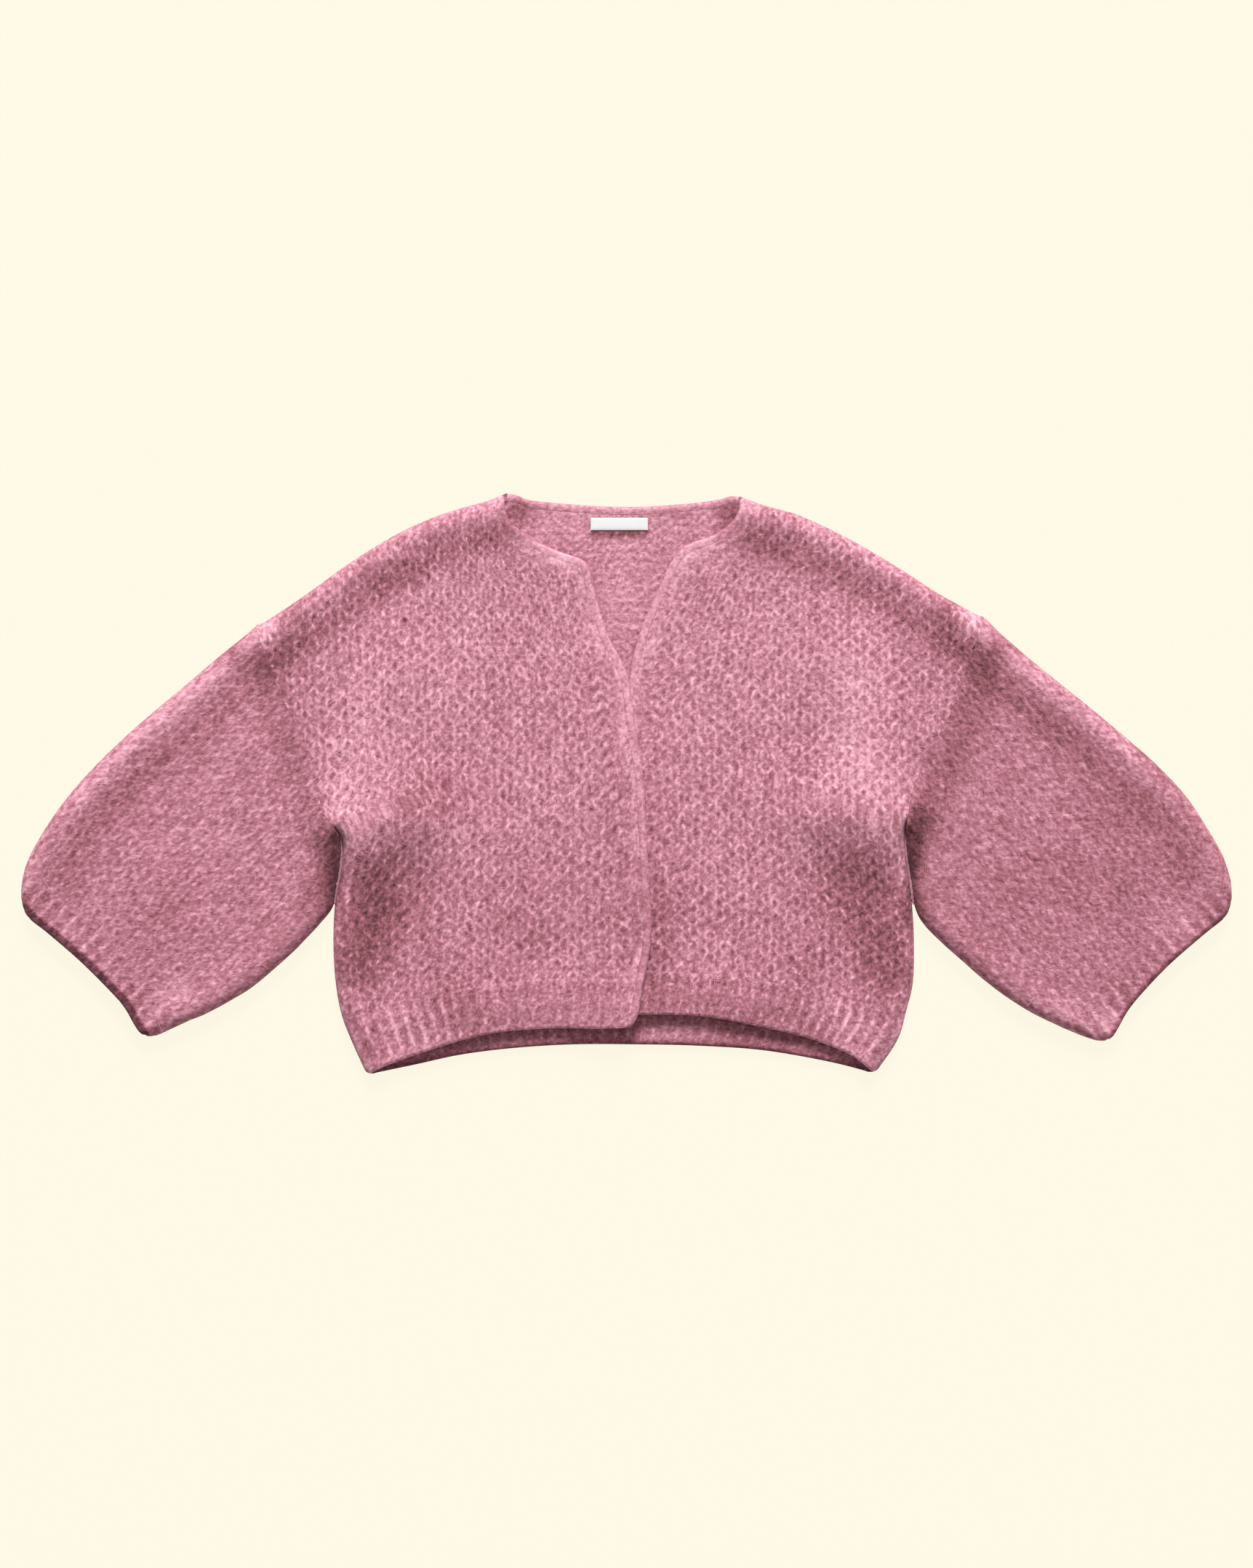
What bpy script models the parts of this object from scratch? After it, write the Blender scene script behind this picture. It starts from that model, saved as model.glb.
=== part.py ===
# A cropped mohair cardigan with wide sleeves, laid out flat on a surface with its
# fronts up. Every knitted piece is a closed wall: a grid of points on its outer face
# and a matching grid on its inner face, both lofted between the piece's own edges.
# Sizes in the tables are millimetres. X runs from sleeve to sleeve, Y from hem to
# neck and Z up from the surface. "right" and "left" are the wearer's.

import bpy
import bmesh
import numpy as np

MM = 0.001

WALL = 6.0          # thickness of the brushed knit
TOP = 15.0          # height of the fronts and sleeves above the surface
MID = TOP / 2.0     # height of the seams along the folded sides and shoulders
SEAM = 0.3          # gap between two pieces at their seam
FOLD = 11.0         # how far in from the outline the knit starts to round over
BAND = 7.0          # width of the rolled edging
RIB = 1.5           # how far a rib stands out
LIP = 1.6           # rounding at a cast-off edge
RIM = 1.6           # the folded outline is this much fuller than the middle
RIM_AT = 14.0
RIM_WIDTH = 9.0
LAP = 8.0           # the right front lies this much higher over the left one
LAP_REACH = 55.0
STEP = 1.5          # spacing of the points along a drawn curve
CURL = (30.0, 60.0, 90.0)

HEM_RIBS = {"right": 21, "left": 22}
BACK_RIBS = 40
CUFF_RIBS = 13
HEM_DEPTH = 49.0

# Outlines seen from above. Each row is one point: x, y.
RIGHT = {
    "shoulder": ((-107, 260), (-124, 253), (-150, 246), (-176, 237), (-202, 225),
                 (-228, 210), (-254, 193), (-280, 174), (-306, 156), (-331, 140)),
    "armhole": ((-331, 140), (-322, 112), (-310, 83), (-297, 57), (-284, 31),
                (-277, 1), (-270, -25), (-255, -47)),
    "side": ((-255, -47), (-254, -64), (-257, -86), (-261, -112), (-262, -145),
             (-260, -177), (-255, -205), (-246, -229), (-232, -260)),
    "sleeve_top": ((-331, 140), (-358, 119), (-384, 97), (-410, 75), (-436, 53),
                   (-462, 29), (-488, 2), (-511, -27), (-529, -56), (-537, -73)),
    "sleeve_under": ((-255, -47), (-255.4, -66), (-258.6, -89), (-263.5, -110),
                     (-274, -125), (-287, -139), (-301, -153), (-331, -179),
                     (-351, -192), (-375, -205), (-392, -212)),
    "cuff_top": ((-537, -73), (-540, -86), (-541, -98), (-540, -110)),
    "cuff_under": ((-392, -212), (-407, -219), (-418, -224), (-428, -227)),
    "cuff_seam": ((-537, -73), (-501, -99), (-462, -133), (-426, -171), (-392, -212)),
    "cuff_edge": ((-539, -114), (-530, -123), (-517, -133), (-487, -159), (-459, -187), (-448, -200),
                  (-440, -214), (-433, -225)),
    "edge": ((3, -218), (8, -211), (11, -203), (14, -183), (19, -160), (22, -136),
             (22, -110), (18, -45), (15, 5), (9, 44), (4, 82), (0, 99), (-7, 115),
             (-15, 129), (-21, 146), (-26, 163), (-30, 179), (-33, 193), (-41, 201),
             (-56, 206), (-73, 213), (-89, 222), (-104, 235), (-109, 247), (-107, 260)),
    "hem": ((5, -217), (-26, -218), (-66, -218), (-108, -221), (-135, -226),
            (-161, -233), (-208, -249), (-232, -260)),
    "hem_seam": ((17, -172), (-69, -173), (-137, -180), (-196, -191), (-255, -207)),
}
LEFT = {
    "shoulder": ((101, 257), (123, 249), (149, 242), (175, 231), (201, 218),
                 (227, 203), (253, 187), (279, 170), (299, 159), (319, 148)),
    "armhole": ((319, 148), (312, 125), (301, 96), (292, 70), (279, 44), (265, 19),
                (256, -5), (251, -25), (249, -41)),
    "side": ((249, -41), (249, -59), (253, -86), (256, -118), (257, -145), (256, -177),
             (250, -203), (242, -229), (222, -259)),
    "sleeve_top": ((319, 148), (344, 126), (370, 104), (396, 83), (422, 62), (448, 40),
                   (474, 17), (500, -11), (520, -41), (532, -62), (537, -75)),
    "sleeve_under": ((249, -41), (250.4, -62), (254.4, -87), (259, -112), (267, -127),
                     (284, -144), (301, -159), (318, -174), (339, -190), (363, -205),
                     (390, -218)),
    "cuff_top": ((537, -75), (540, -87), (541, -99), (540, -110)),
    "cuff_under": ((390, -218), (407, -225), (419, -229), (429, -231)),
    "cuff_seam": ((537, -75), (501, -103), (462, -136), (425, -174), (390, -218)),
    "cuff_edge": ((539, -114), (530, -123), (516, -134), (485, -161), (461, -186), (448, -202),
                  (440, -216), (433, -228)),
    "edge": ((-6, -206), (-6, -145), (-7, -80), (-9, -15), (-8, 30), (-4, 66), (1, 91),
             (4, 105), (8, 121), (13, 138), (20, 155), (28, 172), (38, 195), (48, 209),
             (60, 216), (77, 222), (92, 232), (100, 244), (101, 257)),
    "hem": ((-6, -206), (47, -206), (80, -209), (121, -217), (152, -224), (177, -232),
            (202, -243), (222, -259)),
    "hem_seam": ((-6, -164), (58, -168), (123, -175), (188, -188), (250, -205)),
}
BACK_NECK = ((-107, 260), (-89, 253), (-46, 250), (-1, 248), (45, 250), (82, 254),
             (101, 257))
BACK_HEM = ((-232, -260), (-189, -251), (-147, -242), (-98, -236), (-46, -233), (6, -233),
            (58, -234), (110, -237), (147, -242), (188, -250), (222, -259))
LABEL = {"left": -32.0, "right": 19.0, "low": 227.0, "high": 238.0, "thick": 0.7}

# The largest soft folds of the upper layer. Each row is a ridge or a trough:
# start x, start y, end x, end y, width, height.
FOLDS = (
    (-246, -34, -186, -28, 34, 9.0),
    (-236, 30, -218, 100, 38, 3.5),
    (238, -30, 176, -24, 34, 9.0),
    (222, 30, 206, 110, 36, 4.5),
    (-238, -108, -205, -96, 26, -1.6),
    (232, -108, 190, -92, 28, -1.6),
    (-214, -212, -196, -206, 20, 1.5),
    (200, -208, 214, -200, 20, 1.5),
    (-150, -200, 130, -196, 24, 2.0),
    (-344, 100, -322, 60, 16, -1.4),
    (334, 106, 312, 62, 16, -1.4),
    (-300, 10, -280, -70, 14, -1.6),
    (280, 8, 268, -70, 14, -1.6),
    (-470, -60, -400, -150, 60, 2.0),
    (470, -60, 400, -150, 60, 2.0),
)

# Colours by node, as linear red, green and blue, and the roughness.
PINK = (0.53, 0.235, 0.29)
SHADE = (0.50, 0.215, 0.265)
EDGING = (0.62, 0.30, 0.37)
WHITE = (0.88, 0.88, 0.86)


def dense(points, reach=0.0):
    """A smooth curve through the points, as points STEP apart, run on by reach."""
    p = np.array(points, dtype=float)
    first = 2.0 * p[0] - p[1]
    last = 2.0 * p[-1] - p[-2]
    q = np.vstack([first, p, last])
    t = np.linspace(0.0, 1.0, 24, endpoint=False)[:, None]
    runs = []
    for a, b, c, d in zip(q[:-3], q[1:-2], q[2:-1], q[3:]):
        runs.append(0.5 * (2.0 * b + (c - a) * t
                           + (2.0 * a - 5.0 * b + 4.0 * c - d) * t ** 2
                           + (3.0 * b - a - 3.0 * c + d) * t ** 3))
    curve = np.vstack(runs + [p[-1:]])
    if reach > 0.0:
        head = curve[0] - curve[1]
        tail = curve[-1] - curve[-2]
        start = curve[0] + head / np.linalg.norm(head) * reach
        end = curve[-1] + tail / np.linalg.norm(tail) * reach
        curve = np.vstack([start, curve, end])
    return even(curve, max(2, int(round(length(curve) / STEP)) + 1))


def length(curve):
    return float(np.linalg.norm(np.diff(curve, axis=0), axis=1).sum())


def even(curve, count):
    """The curve as count points, evenly spaced along it."""
    run = np.concatenate([[0.0], np.cumsum(np.linalg.norm(np.diff(curve, axis=0), axis=1))])
    at = np.linspace(0.0, run[-1], count)
    return np.stack([np.interp(at, run, curve[:, 0]), np.interp(at, run, curve[:, 1])], axis=1)


def pick(curve, index):
    """Points of the curve at fractional indices."""
    index = np.clip(np.asarray(index, dtype=float), 0.0, len(curve) - 1.0)
    low = np.minimum(index.astype(int), len(curve) - 2)
    part = (index - low)[..., None]
    return curve[low] * (1.0 - part) + curve[low + 1] * part


def normals(curve, turn):
    """Unit normals, to the left of the curve's direction for turn 1, to the right for -1."""
    d = np.gradient(curve, axis=0)
    d /= np.linalg.norm(d, axis=1)[:, None]
    return turn * np.stack([-d[:, 1], d[:, 0]], axis=1)


def crossing(a, b):
    """Where two curves first cross, as a fractional index on each."""
    p, r = a[:-1, None], (a[1:] - a[:-1])[:, None]
    q, s = b[None, :-1], (b[1:] - b[:-1])[None]
    down = r[..., 0] * s[..., 1] - r[..., 1] * s[..., 0]
    down = np.where(np.abs(down) < 1e-12, 1e-12, down)
    w = q - p
    t = (w[..., 0] * s[..., 1] - w[..., 1] * s[..., 0]) / down
    u = (w[..., 0] * r[..., 1] - w[..., 1] * r[..., 0]) / down
    hit = np.argwhere((t >= 0.0) & (t < 1.0) & (u >= 0.0) & (u < 1.0))
    i, j = hit[0]
    return i + t[i, j], j + u[i, j]


def nearest(curve, point):
    """The index of the curve's point nearest to a given point."""
    return float(np.argmin(np.linalg.norm(curve - point, axis=1)))


def distance(points, curve):
    """Distance from each point to the nearest point of a curve."""
    gap = points[..., None, :] - curve[::2]
    return np.sqrt((gap ** 2).sum(axis=-1).min(axis=-1))


def soft(value):
    value = np.clip(value, 0.0, 1.0)
    return value * value * (3.0 - 2.0 * value)


OUTLINE = np.vstack([dense(half[name])
                     for half in (RIGHT, LEFT)
                     for name in ("shoulder", "sleeve_top", "sleeve_under", "side")])
LEFT_EDGE = dense(LEFT["edge"])


def height(points):
    """Height of the upper layer's outer face above the surface."""
    z = np.full(points.shape[:-1], TOP)
    z += RIM * np.exp(-((distance(points, OUTLINE) - RIM_AT) / RIM_WIDTH) ** 2)
    for x0, y0, x1, y1, width, tall in FOLDS:
        start = np.array((x0, y0), dtype=float)
        along = np.array((x1, y1), dtype=float) - start
        share = ((points - start) @ along / (along @ along)).clip(0.0, 1.0)
        gap = np.linalg.norm(points - start - share[..., None] * along, axis=-1)
        z += tall * np.exp(-(gap / width) ** 2)
    return z


def lapped(points):
    """The same for the right front, which rises over the left one."""
    order = np.argsort(LEFT_EDGE[:, 1])
    edge_x = np.interp(points[..., 1], LEFT_EDGE[order, 1], LEFT_EDGE[order, 0])
    over = soft((points[..., 0] - edge_x + LAP_REACH + 4.0) / LAP_REACH)
    return height(points) + LAP * over * soft((170.0 - points[..., 1]) / 55.0)


def coons(south, north, west, east):
    """A grid of points between four edges, rows from south to north."""
    u = np.linspace(0.0, 1.0, len(south))[None, :, None]
    v = np.linspace(0.0, 1.0, len(west))[:, None, None]
    flat = (1 - v) * south[None] + v * north[None] + (1 - u) * west[:, None] + u * east[:, None]
    return flat - ((1 - u) * (1 - v) * south[0] + u * (1 - v) * south[-1]
                   + (1 - u) * v * north[0] + u * v * north[-1])


def turn_at(out, first=None, last=None, blend=3):
    """Directions that leave an edge: its normals, bent at the ends to follow a seam."""
    out = out.copy()
    count = len(out)
    for lead, ends in ((first, range(blend)), (last, range(count - 1, count - 1 - blend, -1))):
        if lead is None:
            continue
        for step, i in enumerate(ends):
            share = 1.0 - step / blend
            way = (1.0 - share) * out[i] + share * lead / np.linalg.norm(lead)
            out[i] = way / max(0.35, float(way @ out[i]))
    return out


class Sheet:
    """Plan positions of the outer and inner face of one layer, with its curl at folds.

    grid is the flat middle. Each strip added along an edge runs on outwards and,
    where its curl is 1, rounds over to the height of the seam.
    """

    def __init__(self, grid):
        self.outer = grid.copy()
        self.inner = grid.copy()
        self.bend = np.zeros(grid.shape[:2])

    def add(self, edge, out, curl, reach=FOLD):
        """edge: 'north' or 'east'. out: one direction a point. curl: 0 to 1 a point."""
        if edge == "east":
            self.flip()
        curl = np.asarray(curl, dtype=float)
        base_outer, base_inner = self.outer[-1].copy(), self.inner[-1].copy()
        base_bend = self.bend[-1].copy()
        for k, angle in enumerate(CURL):
            rad = np.radians(angle)
            flat = reach * (k + 1) / len(CURL)
            go_outer = (1 - curl) * flat + curl * FOLD * np.sin(rad)
            go_inner = (1 - curl) * flat + curl * (FOLD - WALL) * np.sin(rad)
            bend = 1.0 - (1.0 - base_bend) * (1.0 - curl * (1.0 - np.cos(rad)))
            self.outer = np.vstack([self.outer, (base_outer + out * go_outer[:, None])[None]])
            self.inner = np.vstack([self.inner, (base_inner + out * go_inner[:, None])[None]])
            self.bend = np.vstack([self.bend, bend[None]])
        if edge == "east":
            self.flip()

    def flip(self):
        self.outer = self.outer.swapaxes(0, 1)
        self.inner = self.inner.swapaxes(0, 1)
        self.bend = self.bend.T

    def upper(self, top=height, ribs=None):
        """Outer and inner points of the upper layer."""
        z = top(self.outer)
        low = MID + SEAM / 2.0
        z_out = z if ribs is None else z + ribs
        z_out = low + (z_out - low) * (1.0 - self.bend)
        z_in = low + (z - WALL - low) * (1.0 - self.bend)
        return join(self.outer, z_out), join(self.inner, z_in)

    def lower(self, ribs=None):
        """Outer and inner points of the lower layer, whose outer face is underneath."""
        high = MID - SEAM / 2.0
        z_in = WALL if ribs is None else WALL + ribs
        z_out = high * self.bend
        z_in = high + (z_in - high) * (1.0 - self.bend)
        return join(self.outer, z_out), join(self.inner, z_in)


def join(plan, z):
    return np.concatenate([plan, z[..., None]], axis=-1)


def lip(outer, inner, row):
    """Round a cast-off edge over a little, on the given row."""
    thin = (outer[row, :, 2] - inner[row, :, 2]) * LIP / WALL
    outer[row, :, 2] -= thin
    inner[row, :, 2] += thin


def rib_wave(columns, count):
    """Heights across a ribbed edge: two columns a rib, a crest and a furrow."""
    wave = np.zeros(columns)
    wave[:2 * count] = np.tile((0.0, RIB), count)
    return wave


def loft(name, outer, inner, ring=False):
    """A closed wall between an outer and an inner grid, open or closed into a ring."""
    rows, columns = outer.shape[:2]
    bm = bmesh.new()
    skins = []
    for grid in (outer, inner):
        skins.append([[bm.verts.new(grid[i, j] * MM) for j in range(columns)]
                      for i in range(rows)])
    last = columns if ring else columns - 1
    for skin in skins:
        for i in range(rows - 1):
            for j in range(last):
                k = (j + 1) % columns
                bm.faces.new((skin[i][j], skin[i][k], skin[i + 1][k], skin[i + 1][j]))
    a, b = skins
    for i in (0, rows - 1):
        for j in range(last):
            k = (j + 1) % columns
            bm.faces.new((a[i][j], a[i][k], b[i][k], b[i][j]))
    if not ring:
        for j in (0, columns - 1):
            for i in range(rows - 1):
                bm.faces.new((a[i][j], a[i + 1][j], b[i + 1][j], b[i][j]))
    bmesh.ops.recalc_face_normals(bm, faces=bm.faces)
    mesh = bpy.data.meshes.new(name)
    bm.to_mesh(mesh)
    bm.free()
    mesh.shade_smooth()
    mesh.set_sharp_from_angle(angle=np.radians(50.0))
    piece = bpy.data.objects.new(name, mesh)
    PARTS.objects.link(piece)
    return piece


def finish(piece, colour, roughness=0.95):
    material = bpy.data.materials.new(piece.name)
    material.use_nodes = True
    shader = material.node_tree.nodes["Principled BSDF"]
    shader.inputs["Base Color"].default_value = (*colour, 1.0)
    shader.inputs["Roughness"].default_value = roughness
    shader.inputs["Metallic"].default_value = 0.0
    piece.data.materials.append(material)


class Half:
    """The drawn curves of one half, with the normals that point out of the garment."""

    def __init__(self, table, hand):
        self.hand = hand
        self.table = table
        self.edge = dense(table["edge"], 12.0)
        self.edge_out = normals(self.edge, -hand)
        self.shoulder = dense(table["shoulder"], 12.0)
        self.shoulder_out = normals(self.shoulder, -hand)
        flank = tuple(reversed(table["side"])) + tuple(reversed(table["armhole"]))[1:]
        self.flank = dense(flank, 12.0)
        self.flank_out = normals(self.flank, hand)
        self.hem = dense(table["hem"], 30.0)
        self.seam = dense(table["hem_seam"], 30.0)
        self.seam_out = normals(self.seam, hand)
        under = np.array(table["side"][0], dtype=float)
        self.underarm = int(np.argmin(np.linalg.norm(self.flank - under, axis=1)))
        tip, _ = crossing(self.flank, self.shoulder)
        self.tip = tip
        self.rise = pick(self.flank, tip) - pick(self.flank, tip - 8.0)

    def arm_stations(self, count):
        """Where the sleeve meets the body: indices from just over the underarm up."""
        top, _ = crossing(self.flank, self.shoulder - self.shoulder_out * FOLD)
        return np.linspace(self.underarm + FOLD / STEP, top, count)


def body_rows(half, low, rows_side, rows_arm):
    """Stations up the flank: the side, the underarm, then the armhole."""
    side = np.linspace(low, half.underarm, rows_side + 1)
    return np.concatenate([side, half.arm_stations(rows_arm)])


def straight(curve, count, a, b):
    return pick(curve, np.linspace(a, b, count))


def front_panel(half, name, top, columns, rows_side, rows_arm):
    edge = half.edge - half.edge_out * (BAND + SEAM)
    flank = half.flank - half.flank_out * FOLD
    seam = half.seam - half.seam_out * SEAM / 2.0
    crown = half.shoulder - half.shoulder_out * FOLD
    edge_low, seam_in = crossing(edge, seam)
    edge_high, crown_in = crossing(edge, crown)
    flank_low, seam_end = crossing(flank, seam)
    stations = body_rows(half, flank_low, rows_side, rows_arm)
    east = pick(flank, stations)
    west = straight(edge, len(stations), edge_low, edge_high)
    south = straight(seam, columns, seam_in, seam_end)
    _, crown_end = crossing(flank, crown)
    north = straight(crown, columns, crown_in, crown_end)
    east[-1] = north[-1]
    sheet = Sheet(coons(south, north, west, east))
    out = pick(half.flank_out, stations)
    curl = (stations <= half.underarm + 0.01).astype(float)
    shift = np.where(curl > 0.5, 0.0, SEAM / 2.0)
    sheet.add("east", out * (1.0 - shift / FOLD)[:, None], curl)
    up = pick(half.shoulder_out, np.linspace(crown_in, crown_end, columns))
    up = np.vstack([up] + [up[-1:]] * len(CURL))
    lean = pick(edge, edge_high + 4.0) - pick(edge, edge_high)
    up = turn_at(up, first=lean)
    up[-len(CURL) - 1:] = up_at_tip(half)
    sheet.add("north", up, np.ones(len(up)))
    return loft(name, *sheet.upper(top))


def up_at_tip(half):
    """Direction from the inset corner at the armhole's top out to the outline."""
    out = pick(half.shoulder_out, crossing(half.flank, half.shoulder)[1])
    return half.rise / float(half.rise @ out)


def front_hem(half, name, top, ribs, rows):
    edge = half.edge - half.edge_out * (BAND + SEAM)
    flank = half.flank - half.flank_out * FOLD
    seam = half.seam + half.seam_out * SEAM / 2.0
    edge_low, hem_in = crossing(edge, half.hem)
    edge_high, seam_in = crossing(edge, seam)
    flank_low, hem_end = crossing(flank, half.hem)
    flank_high, seam_end = crossing(flank, seam)
    columns = 2 * ribs + 1
    grid = coons(straight(half.hem, columns, hem_in, hem_end),
                 straight(seam, columns, seam_in, seam_end),
                 straight(edge, rows, edge_low, edge_high),
                 straight(flank, rows, flank_low, flank_high))
    grid = np.vstack([grid[:1], (grid[:1] * 0.8 + grid[1:2] * 0.2), grid[1:]])
    sheet = Sheet(grid)
    spots = np.linspace(flank_low, flank_high, rows)
    spots = np.concatenate([spots[:1], [spots[0] * 0.8 + spots[1] * 0.2], spots[1:]])
    out = pick(half.flank_out, spots)
    way = pick(half.hem, hem_end + 4.0) - pick(half.hem, hem_end)
    sheet.add("east", turn_at(out, first=way), np.ones(len(spots)))
    wave = rib_wave(sheet.outer.shape[1], ribs)
    outer, inner = sheet.upper(top, wave[None, :])
    lip(outer, inner, 0)
    return loft(name, outer, inner)


def edge_stations(half, hem_rows, panel_rows):
    """Indices along the front edge where the hem's and the panel's rows meet the band."""
    edge = half.edge - half.edge_out * (BAND + SEAM)
    low, _ = crossing(edge, half.hem)
    seam_low, _ = crossing(edge, half.seam + half.seam_out * SEAM / 2.0)
    seam_high, _ = crossing(edge, half.seam - half.seam_out * SEAM / 2.0)
    high, _ = crossing(edge, half.shoulder - half.shoulder_out * FOLD)
    return np.linspace(low, seam_low, hem_rows), np.linspace(seam_high, high, panel_rows)


def front_band(half, name, top, hem_rows, panel_rows):
    """The rolled edging from the hem to the shoulder, round along its free side."""
    side = half.edge - half.edge_out * BAND
    crown = half.shoulder - half.shoulder_out * FOLD
    by_hem, by_panel = edge_stations(half, hem_rows, panel_rows)
    spots = np.concatenate([by_hem, by_panel[1:]])
    spots[0] = crossing(side, half.hem)[0]
    spots[-1] = crossing(side, crown)[0]
    free = spots.copy()
    free[0] = crossing(half.edge, half.hem)[0]
    free[-1], crown_out = crossing(half.edge, crown)
    crown_in = crossing(side, crown)[1]
    east = halve(pick(side, spots))
    west = pick(half.edge, halve(free[:, None])[:, 0])
    across = np.array((0.0, 1.2, 3.2, BAND)) / BAND
    grid = west[:, None] * (1 - across)[None, :, None] + east[:, None] * across[None, :, None]
    sheet = Sheet(grid)
    out = pick(half.shoulder_out, np.linspace(crown_out, crown_in, len(across)))
    lean = pick(side, spots[-1] + 4.0) - pick(side, spots[-1])
    up = np.array([lean / float(lean @ way) for way in out])
    sheet.add("north", up, np.ones(len(across)))
    outer, inner = sheet.upper(top)
    keep = 1.0 - sheet.bend
    outer[..., 2] += keep * np.array((-2.85, -0.6, 1.0, 0.2))
    inner[..., 2] += keep * np.array((2.85, 1.0, 0.2, 0.0))
    lip(outer[:, 1:], inner[:, 1:], 0)
    return loft(name, outer, inner)


def halve(points):
    """The same run of points with one more halfway along each stretch."""
    middle = (points[:-1] + points[1:]) / 2.0
    full = np.empty((len(points) + len(middle), points.shape[1]))
    full[0::2] = points
    full[1::2] = middle
    return full


def back_panel(right, left, columns, neck_columns, rows_side, rows_arm):
    hem = dense(BACK_HEM, 30.0)
    seam = hem + normals(hem, 1) * (HEM_DEPTH + SEAM / 2.0)
    sides = []
    for half in (right, left):
        flank = half.flank - half.flank_out * FOLD
        low, seam_at = crossing(flank, seam)
        stations = body_rows(half, low, rows_side, rows_arm)
        sides.append((pick(flank, stations), stations, seam_at))
    south = straight(seam, 2 * columns + neck_columns, sides[0][2], sides[1][2])
    rim, rim_out = neck_stations(neck_columns)
    tops = []
    ways = []
    for half in (right, left):
        crown = half.shoulder - half.shoulder_out * FOLD
        _, end = crossing(half.flank - half.flank_out * FOLD, crown)
        start = crossing(half.shoulder, np.array(((0, 0), (half.table["shoulder"][0]))) * 1.2)[0]
        spots = np.linspace(start, end, columns)
        out = turn_at(pick(half.shoulder_out, spots), first=np.array((0.0, 1.0)), blend=2)
        tops.append(pick(half.shoulder, spots) - out * FOLD)
        ways.append(out)
    north = np.vstack([tops[0][::-1], rim - rim_out * FOLD, tops[1]])
    up = np.vstack([ways[0][::-1], rim_out, ways[1]])
    west, east = sides[0][0].copy(), sides[1][0].copy()
    west[-1], east[-1] = north[0], north[-1]
    sheet = Sheet(coons(south, north, west, east))
    for half, side in ((left, sides[1]), (right, sides[0])):
        curl = (side[1] <= half.underarm + 0.01).astype(float)
        shift = np.where(curl > 0.5, 0.0, SEAM / 2.0)
        out = pick(half.flank_out, side[1]) * (1.0 - shift / FOLD)[:, None]
        sheet.add("east", out, curl)
        sheet.outer = sheet.outer[:, ::-1]
        sheet.inner = sheet.inner[:, ::-1]
        sheet.bend = sheet.bend[:, ::-1]
    extra = len(CURL)
    up = np.vstack([[up_at_tip(right)] * (extra + 1), up[1:-1], [up_at_tip(left)] * (extra + 1)])
    curl = np.ones(len(up))
    curl[extra + columns:extra + columns + neck_columns] = 0.0
    sheet.add("north", up, curl, reach=FOLD - BAND - SEAM)
    return loft("back_panel", *sheet.lower())


def back_hem(right, left, ribs, rows):
    hem = dense(BACK_HEM, 30.0)
    seam = hem + normals(hem, 1) * (HEM_DEPTH - SEAM / 2.0)
    ends = []
    for half in (right, left):
        flank = half.flank - half.flank_out * FOLD
        low, hem_at = crossing(flank, hem)
        high, seam_at = crossing(flank, seam)
        ends.append((straight(flank, rows, low, high), np.linspace(low, high, rows),
                     hem_at, seam_at))
    columns = 2 * ribs + 1
    grid = coons(straight(hem, columns, ends[0][2], ends[1][2]),
                 straight(seam, columns, ends[0][3], ends[1][3]),
                 ends[0][0], ends[1][0])
    grid = np.vstack([grid[:1], (grid[:1] * 0.85 + grid[1:2] * 0.15), grid[1:]])
    sheet = Sheet(grid)
    for half, end, sign in ((left, ends[1], 1), (right, ends[0], -1)):
        spots = np.concatenate([end[1][:1], [end[1][0] * 0.85 + end[1][1] * 0.15], end[1][1:]])
        way = sign * (pick(hem, end[2] + 4.0) - pick(hem, end[2] - 4.0))
        out = turn_at(pick(half.flank_out, spots), first=way)
        sheet.add("east", out, np.ones(len(spots)))
        sheet.outer = sheet.outer[:, ::-1]
        sheet.inner = sheet.inner[:, ::-1]
        sheet.bend = sheet.bend[:, ::-1]
    extra = len(CURL)
    wave = np.zeros(sheet.outer.shape[1])
    wave[extra:extra + columns] = rib_wave(columns, ribs)
    outer, inner = sheet.lower(wave[None, :])
    lip(outer, inner, 0)
    return loft("back_hem", outer, inner)


def neck_stations(count):
    """Points along the back of the neck, with the direction out of the garment."""
    neck = dense(BACK_NECK)
    spots = np.linspace(1.4, len(neck) - 2.4, count)
    return pick(neck, spots), np.tile((0.0, 1.0), (count, 1))


def neck_band(columns):
    """The rolled edging along the back of the neck."""
    rim, out = neck_stations(columns)
    across = np.array((0.0, 1.2, 3.2, BAND))
    grid = rim[None] - out[None] * across[:, None, None]
    under = np.array((2.85, 0.8, 0.0, 0.0))[:, None] * np.ones(columns)
    over = np.array((3.15, 5.6, 7.0, 6.2))[:, None] * np.ones(columns)
    return loft("back_neck_band", join(grid, under), join(grid, over))


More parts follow.
